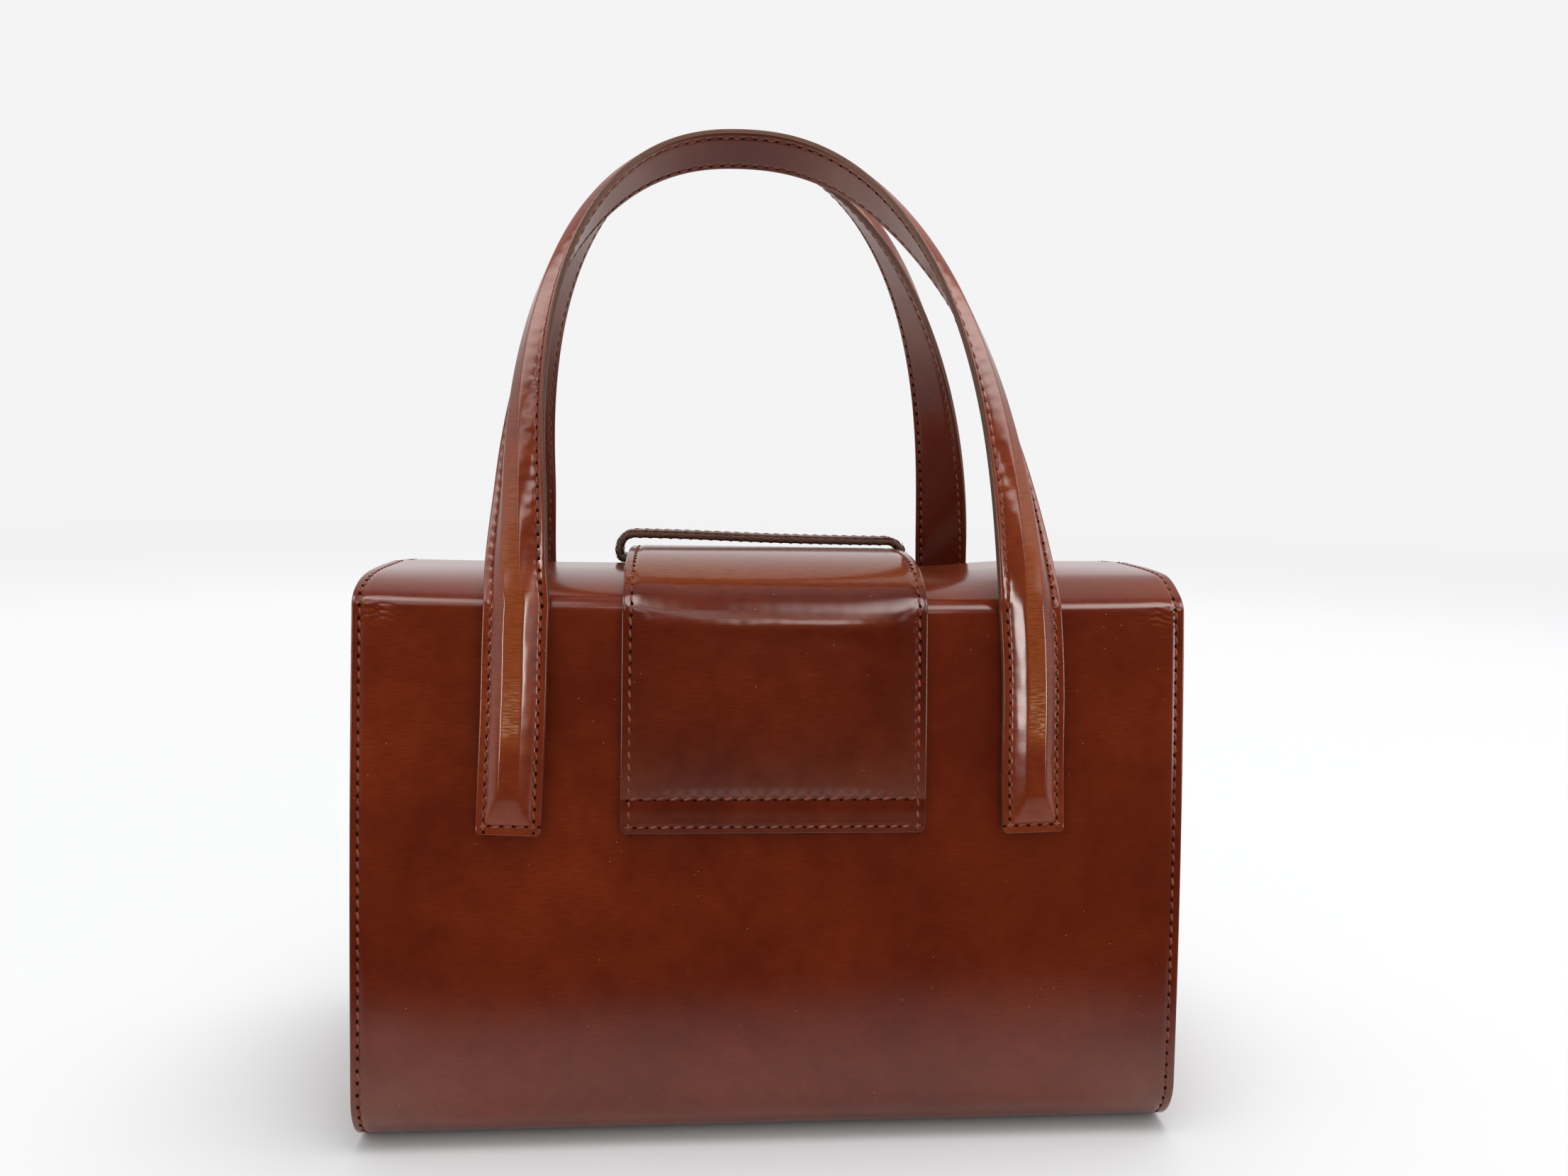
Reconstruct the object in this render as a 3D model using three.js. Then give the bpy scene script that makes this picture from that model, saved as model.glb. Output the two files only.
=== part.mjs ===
// A structured leather handbag: a wrapped body with two end gussets, a broad tab that runs over
// the top through a keeper loop, and two strap handles with a raised core.
// Millimetres, +Z up. X runs along the width and -Y is the back, where the tab's sewn end lies.
import * as THREE from 'three';

// Body
const BODY_WIDTH = 260;
const WALL = 2.2;
const CREASE_Z = 171.5;
const CREASE_HALF_DEPTH = 45;
const LOW_HALF_DEPTH = 57.5;
const WALL_BULGE = 1.6;
const BASE_CORNER_RADIUS = 17;
const CREASE_ROUNDING = 3;

// Top: each half rises from its crease and flattens towards the mouth slit
const BACK_ROOF_RISE = 6.8;
const FRONT_ROOF_RISE = 6.2;
const ROOF_FLATTENING = 8;
const MOUTH_BACK_Y = 8;
const MOUTH_FRONT_Y = 14;

// Gaps between sewn pieces
const SEAM_GAP = 0.3;

// End gussets
const GUSSET_WALL = 2;
const GUSSET_INSET = 8;

// Closure tab
const TAB_WIDTH = 95;
const TAB_SHIFT = -1;
const TAB_THICKNESS = 2.8;
const TAB_END_Z = 100;
const TAB_RISE = 10.8;
const TAB_FLATTENING = 9;
const TAB_CORNER_RADIUS = 2.5;

// Keeper loop
const KEEPER_WIDTH = 104.5;
const KEEPER_SHIFT = -2;
const KEEPER_LENGTH = 12;
const KEEPER_BACK_Y = 14.5;
const KEEPER_TOP_Z = 188.8;
const KEEPER_THICKNESS = 2.4;
const KEEPER_TOP_RADIUS = 6.5;
const KEEPER_LOW_RADIUS = 3.6;

// Handles
const STRAP_WIDTH = 19.6;
const STRAP_THICKNESS = 3;
const CORE_BASE_WIDTH = 13;
const CORE_TOP_WIDTH = 5.5;
const CORE_HEIGHT = 3.5;
const CORE_END_HEIGHT = 0.3;
const CORE_START = 4;
const CORE_SLOPE_LENGTH = 8;
const FOOT_END_Z = 100;
const FOOT_HALF_SPAN = 80.5;
const ARCH_HALF_SPAN = 78;
const APEX_HALF_DEPTH = 11;
const HANDLE_GAP = 0.5;
const HANDLE_LIFT = 1;
const TWIST_START_Z = 170.5;
const TWIST_EXPONENT = 0.75;
const APEX_TWIST = THREE.MathUtils.degToRad(-6);
const FOOT_TWIST = THREE.MathUtils.degToRad(90);

// Each handle sags a little to the left: its shift in X at the crease and at the top of its arch,
// and how high and how full its arch is
const HANDLES = [
  { name: 'handle_back', side: -1, creaseShift: 0, apexShift: -12, archHeight: 143, archExponent: 2.31 },
  { name: 'handle_front', side: 1, creaseShift: -8.5, apexShift: -14.8, archHeight: 147, archExponent: 2.25 },
];

// Each leg stands out sideways a little near the wall: all along its foot, and more about one height
const LEFT_BOW = { foot: -1.7, more: -0.5, middleZ: 165, width: 18 };
const RIGHT_BOW = { foot: 0.2, more: 1, middleZ: 150, width: 24 };
const BOW_TOP_Z = 208;
const BOW_FADE = 36;

// Facets
const ROOF_STEPS = 8;
const ROOF_SPACING = 1.7;
const CREASE_STEPS = 4;
const WALL_STEPS = 6;
const CORNER_STEPS = 6;
const TAB_CORNER_STEPS = 4;
const LEG_SAMPLES = 8;
const ARCH_SAMPLES = 120;
const HANDLE_STEPS = 56;
const KEEPER_CURVE_STEPS = 5;

// Half depth of the outer wall at height z
function wallHalfDepth(z) {
  const t = (z - BASE_CORNER_RADIUS) / (CREASE_Z - BASE_CORNER_RADIUS);
  const straight = THREE.MathUtils.lerp(LOW_HALF_DEPTH, CREASE_HALF_DEPTH, t);
  return straight + WALL_BULGE * 4 * t * (1 - t);
}

// Height of a top that rises from the crease, at a distance in from it
function topHeight(inset, rise, flattening) {
  return CREASE_Z + rise * (1 - Math.exp(-inset / flattening));
}

// Outline of one side, as (half depth, z), from the lip at the mouth down to the middle of the base
function sideOutline(roofRise, roofLength) {
  const points = [];
  for (let i = 0; i < ROOF_STEPS; i += 1) {
    const share = (1 - i / (ROOF_STEPS - 1)) ** ROOF_SPACING;
    const inset = THREE.MathUtils.lerp(CREASE_ROUNDING, roofLength, share);
    points.push(new THREE.Vector2(CREASE_HALF_DEPTH - inset, topHeight(inset, roofRise, ROOF_FLATTENING)));
  }
  const crease = new THREE.QuadraticBezierCurve(
    points[points.length - 1],
    new THREE.Vector2(CREASE_HALF_DEPTH, CREASE_Z),
    new THREE.Vector2(wallHalfDepth(CREASE_Z - CREASE_ROUNDING), CREASE_Z - CREASE_ROUNDING),
  );
  points.push(...crease.getPoints(CREASE_STEPS).slice(1));
  for (let i = 1; i <= WALL_STEPS; i += 1) {
    const z = THREE.MathUtils.lerp(CREASE_Z - CREASE_ROUNDING, BASE_CORNER_RADIUS, i / WALL_STEPS);
    points.push(new THREE.Vector2(wallHalfDepth(z), z));
  }
  for (let i = 1; i <= CORNER_STEPS; i += 1) {
    const angle = (Math.PI / 2) * (i / CORNER_STEPS);
    points.push(new THREE.Vector2(
      LOW_HALF_DEPTH - BASE_CORNER_RADIUS * (1 - Math.cos(angle)),
      BASE_CORNER_RADIUS * (1 - Math.sin(angle)),
    ));
  }
  return points;
}

// Outer outline of the wrap as (y, z), from the back lip round the base to the front lip
function wrapOutline() {
  const back = sideOutline(BACK_ROOF_RISE, CREASE_HALF_DEPTH + MOUTH_BACK_Y);
  const front = sideOutline(FRONT_ROOF_RISE, CREASE_HALF_DEPTH - MOUTH_FRONT_Y);
  return [
    ...back.map((p) => new THREE.Vector2(-p.x, p.y)),
    ...front.reverse(),
  ];
}

// The outline moved towards its left-hand side by a distance, with mitred corners
function offsetOutline(points, distance) {
  return points.map((point, i) => {
    const before = points[Math.max(i - 1, 0)];
    const after = points[Math.min(i + 1, points.length - 1)];
    const into = point.clone().sub(before).normalize();
    const out = after.clone().sub(point).normalize();
    const along = into.add(out).normalize();
    const normal = new THREE.Vector2(-along.y, along.x);
    const edge = (i === 0 ? after.clone().sub(point) : point.clone().sub(before)).normalize();
    const mitre = normal.dot(new THREE.Vector2(-edge.y, edge.x));
    return point.clone().addScaledVector(normal, distance / mitre);
  });
}

// A closed body through rings of equal point counts, with a flat cap on each end.
// The cap outlines run counter-clockwise, in the rings' point order.
function loft(rings, firstCap, lastCap) {
  const count = rings[0].length;
  const positions = rings.flat().flatMap((p) => [p.x, p.y, p.z]);
  const indices = [];
  for (let r = 0; r < rings.length - 1; r += 1) {
    for (let i = 0; i < count; i += 1) {
      const a = r * count + i;
      const b = r * count + ((i + 1) % count);
      indices.push(a, b, b + count, a, b + count, a + count);
    }
  }
  for (const [a, b, c] of THREE.ShapeUtils.triangulateShape(firstCap, [])) {
    indices.push(a, c, b);
  }
  const last = (rings.length - 1) * count;
  for (const [a, b, c] of THREE.ShapeUtils.triangulateShape(lastCap, [])) {
    indices.push(last + a, last + b, last + c);
  }
  const geometry = new THREE.BufferGeometry();
  geometry.setAttribute('position', new THREE.Float32BufferAttribute(positions, 3));
  geometry.setIndex(indices);
  return geometry;
}

// Wrap: the sheet's section extruded along the width
function wrapGeometry() {
  const outer = wrapOutline();
  const inner = offsetOutline(outer, WALL);
  const section = new THREE.Shape([...outer, ...inner.reverse()]);
  const geometry = new THREE.ExtrudeGeometry(section, { depth: BODY_WIDTH, bevelEnabled: false });
  const sectionToBody = new THREE.Matrix4().makeBasis(
    new THREE.Vector3(0, 1, 0),
    new THREE.Vector3(0, 0, 1),
    new THREE.Vector3(1, 0, 0),
  );
  geometry.applyMatrix4(sectionToBody);
  geometry.translate(-BODY_WIDTH / 2, 0, 0);
  return geometry;
}

// Gusset: a dished end panel, with its rim along the inside of the wrap up to the wrap's end
function gussetGeometry(side) {
  const outline = wrapOutline();
  const rimOuter = offsetOutline(outline, WALL + SEAM_GAP);
  const rimInner = offsetOutline(outline, WALL + SEAM_GAP + GUSSET_WALL);
  const rimEnd = BODY_WIDTH / 2;
  const panelOuter = rimEnd - GUSSET_INSET;
  const panelInner = panelOuter - GUSSET_WALL;
  const ring = (points, x) => points.map((p) => new THREE.Vector3(side * x, p.x, p.y));
  const rings = [
    ring(rimInner, panelOuter),
    ring(rimInner, rimEnd),
    ring(rimOuter, rimEnd),
    ring(rimOuter, panelInner),
  ];
  return side < 0 ? loft(rings, rimInner, rimOuter) : loft(rings.reverse(), rimOuter, rimInner);
}

// Underside of the tab as (y, z), from its back end over the top to its front end
function tabUnderside() {
  const half = [];
  const cornerEnd = TAB_END_Z + TAB_CORNER_RADIUS;
  for (let i = 0; i < TAB_CORNER_STEPS; i += 1) {
    const angle = (Math.PI / 2) * (i / TAB_CORNER_STEPS);
    const z = TAB_END_Z + TAB_CORNER_RADIUS * (1 - Math.cos(angle));
    half.push(new THREE.Vector2(-wallHalfDepth(z) - SEAM_GAP, z));
  }
  for (let i = 0; i <= WALL_STEPS; i += 1) {
    const z = THREE.MathUtils.lerp(cornerEnd, CREASE_Z - CREASE_ROUNDING, i / WALL_STEPS);
    half.push(new THREE.Vector2(-wallHalfDepth(z) - SEAM_GAP, z));
  }
  const foldEnd = topHeight(CREASE_ROUNDING, TAB_RISE, TAB_FLATTENING);
  const fold = new THREE.QuadraticBezierCurve(
    half[half.length - 1],
    new THREE.Vector2(-CREASE_HALF_DEPTH - SEAM_GAP, CREASE_Z + 2 * SEAM_GAP),
    new THREE.Vector2(CREASE_ROUNDING - CREASE_HALF_DEPTH, foldEnd),
  );
  half.push(...fold.getPoints(CREASE_STEPS).slice(1));
  for (let i = 1; i < ROOF_STEPS; i += 1) {
    const inset = THREE.MathUtils.lerp(CREASE_ROUNDING, CREASE_HALF_DEPTH, (i / ROOF_STEPS) ** ROOF_SPACING);
    half.push(new THREE.Vector2(inset - CREASE_HALF_DEPTH, topHeight(inset, TAB_RISE, TAB_FLATTENING)));
  }
  const mirrored = half.map((p) => new THREE.Vector2(-p.x, p.y)).reverse();
  return [...half, ...mirrored];
}

// Half width of the tab at a height: its end corners are rounded
function tabHalfWidth(z) {
  const fromEnd = Math.min(z - TAB_END_Z, TAB_CORNER_RADIUS);
  const across = TAB_CORNER_RADIUS - fromEnd;
  const cut = TAB_CORNER_RADIUS - Math.sqrt(TAB_CORNER_RADIUS ** 2 - across ** 2);
  return TAB_WIDTH / 2 - cut;
}

// Tab: a flat section lofted along its underside
function tabGeometry() {
  const underside = tabUnderside();
  const topside = offsetOutline(underside, TAB_THICKNESS);
  const rings = underside.map((low, i) => {
    const high = topside[i];
    const half = tabHalfWidth(low.y);
    return [
      new THREE.Vector3(TAB_SHIFT + half, low.x, low.y),
      new THREE.Vector3(TAB_SHIFT - half, low.x, low.y),
      new THREE.Vector3(TAB_SHIFT - half, high.x, high.y),
      new THREE.Vector3(TAB_SHIFT + half, high.x, high.y),
    ];
  });
  const half = TAB_WIDTH / 2;
  const cap = [
    new THREE.Vector2(-half, 0),
    new THREE.Vector2(half, 0),
    new THREE.Vector2(half, TAB_THICKNESS),
    new THREE.Vector2(-half, TAB_THICKNESS),
  ];
  return loft(rings, cap, cap);
}

// A rectangle with rounded corners, centred on x = 0, between two heights
function roundedRectangle(path, halfWidth, low, high, lowRadius, highRadius) {
  path.moveTo(-halfWidth + lowRadius, low);
  path.lineTo(halfWidth - lowRadius, low);
  path.absarc(halfWidth - lowRadius, low + lowRadius, lowRadius, -Math.PI / 2, 0);
  path.absarc(halfWidth - highRadius, high - highRadius, highRadius, 0, Math.PI / 2);
  path.absarc(-halfWidth + highRadius, high - highRadius, highRadius, Math.PI / 2, Math.PI);
  path.absarc(-halfWidth + lowRadius, low + lowRadius, lowRadius, Math.PI, Math.PI * 1.5);
  path.closePath();
  return path;
}

// Keeper: a flat ring round the tab, resting on the front half of the top
function keeperGeometry() {
  const inset = CREASE_HALF_DEPTH - MOUTH_FRONT_Y;
  const low = topHeight(inset, FRONT_ROOF_RISE, ROOF_FLATTENING) + SEAM_GAP;
  const wall = KEEPER_THICKNESS;
  const ring = roundedRectangle(
    new THREE.Shape(),
    KEEPER_WIDTH / 2,
    low,
    KEEPER_TOP_Z,
    KEEPER_LOW_RADIUS,
    KEEPER_TOP_RADIUS,
  );
  ring.holes.push(roundedRectangle(
    new THREE.Path(),
    KEEPER_WIDTH / 2 - wall,
    low + wall,
    KEEPER_TOP_Z - wall,
    KEEPER_LOW_RADIUS - wall,
    KEEPER_TOP_RADIUS - wall,
  ));
  const geometry = new THREE.ExtrudeGeometry(ring, {
    depth: KEEPER_LENGTH,
    bevelEnabled: false,
    curveSegments: KEEPER_CURVE_STEPS,
  });
  geometry.rotateX(Math.PI / 2);
  geometry.translate(KEEPER_SHIFT, KEEPER_BACK_Y + KEEPER_LENGTH, 0);
  return geometry;
}

// How far a leg stands out sideways at a height, for the left end (-1) or the right end (1)
function legBow(end, z) {
  const { foot, more, middleZ, width } = end < 0 ? LEFT_BOW : RIGHT_BOW;
  const bow = foot + more * Math.exp(-(((z - middleZ) / width) ** 2));
  return bow * THREE.MathUtils.smoothstep(BOW_TOP_Z - z, 0, BOW_FADE);
}

// Middle line of the strap's underside, from the left foot to the right foot, drawn on the back wall
function handleLine({ creaseShift, apexShift, archHeight, archExponent }) {
  const springDepth = CREASE_HALF_DEPTH + HANDLE_GAP + HANDLE_LIFT;
  const leg = (end) => {
    const points = [];
    for (let i = 0; i < LEG_SAMPLES; i += 1) {
      const t = i / LEG_SAMPLES;
      const z = THREE.MathUtils.lerp(FOOT_END_Z, CREASE_Z, t);
      const x = end * THREE.MathUtils.lerp(FOOT_HALF_SPAN, ARCH_HALF_SPAN, t) + creaseShift * t;
      points.push(new THREE.Vector3(x + legBow(end, z), -wallHalfDepth(z) - HANDLE_GAP - HANDLE_LIFT * t, z));
    }
    return points;
  };
  const arch = [];
  for (let i = 0; i <= ARCH_SAMPLES; i += 1) {
    const angle = Math.PI * (i / ARCH_SAMPLES);
    const across = -Math.cos(angle);
    const spread = Math.sign(across) * Math.abs(across) ** (2 / archExponent);
    const height = Math.abs(Math.sin(angle)) ** (2 / archExponent);
    const z = CREASE_Z + archHeight * height;
    const x = ARCH_HALF_SPAN * spread + THREE.MathUtils.lerp(creaseShift, apexShift, height);
    arch.push(new THREE.Vector3(
      x + legBow(across, z),
      -THREE.MathUtils.lerp(springDepth, APEX_HALF_DEPTH, height),
      z,
    ));
  }
  return new THREE.CatmullRomCurve3([...leg(-1), ...arch, ...leg(1).reverse()], false, 'centripetal');
}

// Strap section as (across, out), with the raised core at a given height
function strapSection(coreHeight) {
  const out = STRAP_THICKNESS;
  return [
    new THREE.Vector2(-STRAP_WIDTH / 2, 0),
    new THREE.Vector2(STRAP_WIDTH / 2, 0),
    new THREE.Vector2(STRAP_WIDTH / 2, out),
    new THREE.Vector2(CORE_BASE_WIDTH / 2, out),
    new THREE.Vector2(CORE_TOP_WIDTH / 2, out + coreHeight),
    new THREE.Vector2(-CORE_TOP_WIDTH / 2, out + coreHeight),
    new THREE.Vector2(-CORE_BASE_WIDTH / 2, out),
    new THREE.Vector2(-STRAP_WIDTH / 2, out),
  ];
}

// Distances along the handle at which a section is placed, close together where the core ends
function handleStations(length) {
  const coreFull = CORE_START + CORE_SLOPE_LENGTH;
  const stations = [0, CORE_START];
  for (let i = 0; i <= HANDLE_STEPS; i += 1) {
    stations.push(THREE.MathUtils.lerp(coreFull, length - coreFull, i / HANDLE_STEPS));
  }
  stations.push(length - CORE_START, length);
  return stations;
}

// Handle: the strap lies flat on the wall at its feet and turns to face up at the top of its arch
function handleGeometry(handle) {
  const line = handleLine(handle);
  line.arcLengthDivisions = ARCH_SAMPLES * 8;
  const length = line.getLength();
  const planeNormal = new THREE.Vector3(
    0,
    -handle.archHeight,
    CREASE_HALF_DEPTH + HANDLE_GAP + HANDLE_LIFT - APEX_HALF_DEPTH,
  ).normalize();
  const rings = handleStations(length).map((station) => {
    const centre = line.getPointAt(station / length);
    const along = line.getTangentAt(station / length);
    const aside = planeNormal.clone().addScaledVector(along, -planeNormal.dot(along)).normalize();
    const outward = new THREE.Vector3().crossVectors(aside, along);
    const rise = (centre.z - TWIST_START_Z) / (CREASE_Z + handle.archHeight - TWIST_START_Z);
    const turned = THREE.MathUtils.clamp(rise, 0, 1) ** TWIST_EXPONENT;
    const twist = THREE.MathUtils.lerp(FOOT_TWIST, APEX_TWIST, turned);
    const face = outward.multiplyScalar(Math.cos(twist)).addScaledVector(aside, Math.sin(twist));
    const across = new THREE.Vector3().crossVectors(face, along);
    const fromEnd = Math.min(station, length - station);
    const coreShare = THREE.MathUtils.clamp((fromEnd - CORE_START) / CORE_SLOPE_LENGTH, 0, 1);
    const section = strapSection(THREE.MathUtils.lerp(CORE_END_HEIGHT, CORE_HEIGHT, coreShare));
    return section.map((p) => {
      const point = centre.clone().addScaledVector(across, p.x).addScaledVector(face, p.y);
      return new THREE.Vector3(point.x, -handle.side * point.y, point.z);
    });
  });
  const cap = strapSection(CORE_END_HEIGHT);
  return loft(handle.side < 0 ? rings : rings.reverse(), cap, cap);
}

// Leather finishes
const CHESTNUT = { color: 0x6e2f16, roughness: 0.34, metalness: 0 };
const DARK_CHESTNUT = { color: 0x55230f, roughness: 0.4, metalness: 0 };
const TAN = { color: 0x84401f, roughness: 0.36, metalness: 0 };

// The whole bag
const pieces = [
  { name: 'body_wrap', geometry: wrapGeometry(), finish: CHESTNUT },
  { name: 'gusset_left', geometry: gussetGeometry(-1), finish: DARK_CHESTNUT },
  { name: 'gusset_right', geometry: gussetGeometry(1), finish: DARK_CHESTNUT },
  { name: 'closure_tab', geometry: tabGeometry(), finish: CHESTNUT },
  { name: 'keeper_loop', geometry: keeperGeometry(), finish: DARK_CHESTNUT },
  ...HANDLES.map((handle) => ({ name: handle.name, geometry: handleGeometry(handle), finish: TAN })),
];

const handbag = new THREE.Group();
for (const { name, geometry, finish } of pieces) {
  const mesh = new THREE.Mesh(geometry, new THREE.MeshStandardMaterial(finish));
  mesh.name = name;
  handbag.add(mesh);
}

export default handbag;
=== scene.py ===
"""Looks of a structured leather handbag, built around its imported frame.

Sizes are in millimetres and become metres when a mesh is made. +Z is up, X runs along
the width, and -Y is the back, where the tab's sewn end and the seen handle lie.
"""

import logging
import math
from dataclasses import dataclass, field
from enum import Enum

import bpy
import numpy as np
from mathutils import Matrix, Vector


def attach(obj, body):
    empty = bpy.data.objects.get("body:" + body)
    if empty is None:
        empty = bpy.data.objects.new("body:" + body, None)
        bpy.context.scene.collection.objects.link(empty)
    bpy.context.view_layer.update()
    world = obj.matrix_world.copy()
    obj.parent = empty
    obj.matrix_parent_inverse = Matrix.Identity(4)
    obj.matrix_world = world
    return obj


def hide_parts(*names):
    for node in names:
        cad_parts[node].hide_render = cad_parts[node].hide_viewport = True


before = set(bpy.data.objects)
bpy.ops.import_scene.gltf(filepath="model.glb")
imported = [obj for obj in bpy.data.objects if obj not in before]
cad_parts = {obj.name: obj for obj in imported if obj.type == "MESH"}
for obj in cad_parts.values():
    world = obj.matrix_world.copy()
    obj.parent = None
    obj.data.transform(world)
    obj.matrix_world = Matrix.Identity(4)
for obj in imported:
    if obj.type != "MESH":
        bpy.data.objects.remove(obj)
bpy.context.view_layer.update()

LOG = logging.getLogger("handbag")
MM = 0.001
BODY = "root"
SKIN = "skin"
# Mark of real wear; on the roofs of the body and the tab it also carries painted light.
WEAR_AND_PAINTED_LIGHT = "wear"
# Mark of a darker rim at the cut edges; on the body's walls it also carries painted shade.
RIM_AND_PAINTED_SHADE = "rim"
LAYER = "layer"
# Mark of painted sheen: a pale haze mixed into the colour that stands in for reflections and glare.
PAINTED_SHEEN = "painted_sheen"
ROW_NORMAL = "row_normal"
GLOW = "glow"
SHARP_ANGLE = math.radians(38)

Array = np.ndarray
Colour = tuple[float, float, float]
Place = tuple[float, float, float]
Span = tuple[float, float]
Material = bpy.types.Material
Mesh = bpy.types.Mesh
Piece = bpy.types.Object
Socket = bpy.types.NodeSocket


# Plain sums used by every piece


def lerp(low: float | Array, high: float | Array, share: float | Array) -> float | Array:
    """Value between two others."""
    return low + (high - low) * share


def ease(share: float | Array) -> float | Array:
    """Smooth step of a share that is held between 0 and 1."""
    held = np.clip(share, 0.0, 1.0)
    return held * held * (3.0 - 2.0 * held)


def bell(distance: float | Array, width: float) -> float | Array:
    """Soft hump of height 1 and a given half width."""
    return np.exp(-((distance / width) ** 2))


def unit(vectors: Array) -> Array:
    """Vectors of length 1."""
    return vectors / np.linalg.norm(vectors, axis=-1, keepdims=True)


def run_length(points: Array) -> Array:
    """Distance along a line of points, at each point."""
    steps = np.linalg.norm(np.diff(points, axis=0), axis=1)
    return np.concatenate([[0.0], np.cumsum(steps)])


def tangents(points: Array) -> Array:
    """Direction of a line of points, at each point."""
    return unit(np.gradient(points, run_length(points), axis=0))


def quadratic(start: Array, bend: Array, end: Array, count: int) -> Array:
    """Points of a quadratic curve.

    Args:
        start: First point.
        bend: Control point.
        end: Last point.
        count: Number of points.

    Returns:
        The points, both ends included.
    """
    t = np.linspace(0.0, 1.0, count)[:, None]
    return (1 - t) ** 2 * start + 2 * t * (1 - t) * bend + t**2 * end


def mirrored_stops(from_edge: list[float], spacing: float, half: float) -> Array:
    """Places across a width, close together at both edges.

    Args:
        from_edge: Distances in from an edge, rising from 0.
        spacing: Largest step between the last of these and the middle.
        half: Half the width.

    Returns:
        Rising places from -half to half, the same on both sides.
    """
    inner = half - from_edge[-1]
    count = max(int(math.ceil(2 * inner / spacing)), 1)
    middle = np.linspace(-inner, inner, count + 1)[1:-1]
    edge = np.array(from_edge)
    return np.concatenate([edge - half, middle, (half - edge)[::-1]])


SWELL_WAVES = (
    (0.021, 0.034, 0.4),
    (0.047, -0.019, 2.1),
    (-0.031, 0.061, 4.0),
    (0.083, 0.027, 5.2),
    (0.016, 0.092, 1.3),
)


def ripples(across: Array, along: Array) -> Array:
    """Slow, uneven swell of a leather wall, from a few fixed waves.

    Args:
        across: Places across the leather.
        along: Places along it.

    Returns:
        Values between 0 and 1.
    """
    total = sum(np.sin(a * across + b * along + phase) for a, b, phase in SWELL_WAVES)
    return 0.5 + 0.5 * total / len(SWELL_WAVES)


def rounded(from_edge: Array, radius: float) -> Array:
    """How far a face falls at its rounded edge, as values of 0 or less."""
    held = np.clip(radius - from_edge, 0.0, radius)
    return np.sqrt(radius**2 - held**2) - radius


def at_stations(station: Array, along: Array, values: Array) -> Array:
    """Values read between the points of a line.

    Args:
        station: Distances along the line to read at.
        along: Distance along the line of each of its points.
        values: One row of values for each point.

    Returns:
        One row of values for each station.
    """
    return np.stack([np.interp(station, along, column) for column in values.T], axis=1)


# Meshes


class EndCap(Enum):
    """How the ends of a loft are closed."""

    JOINED = "the path closes on itself"
    STRIP = "faces across a thin section"
    POLE = "faces to a middle point"


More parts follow.
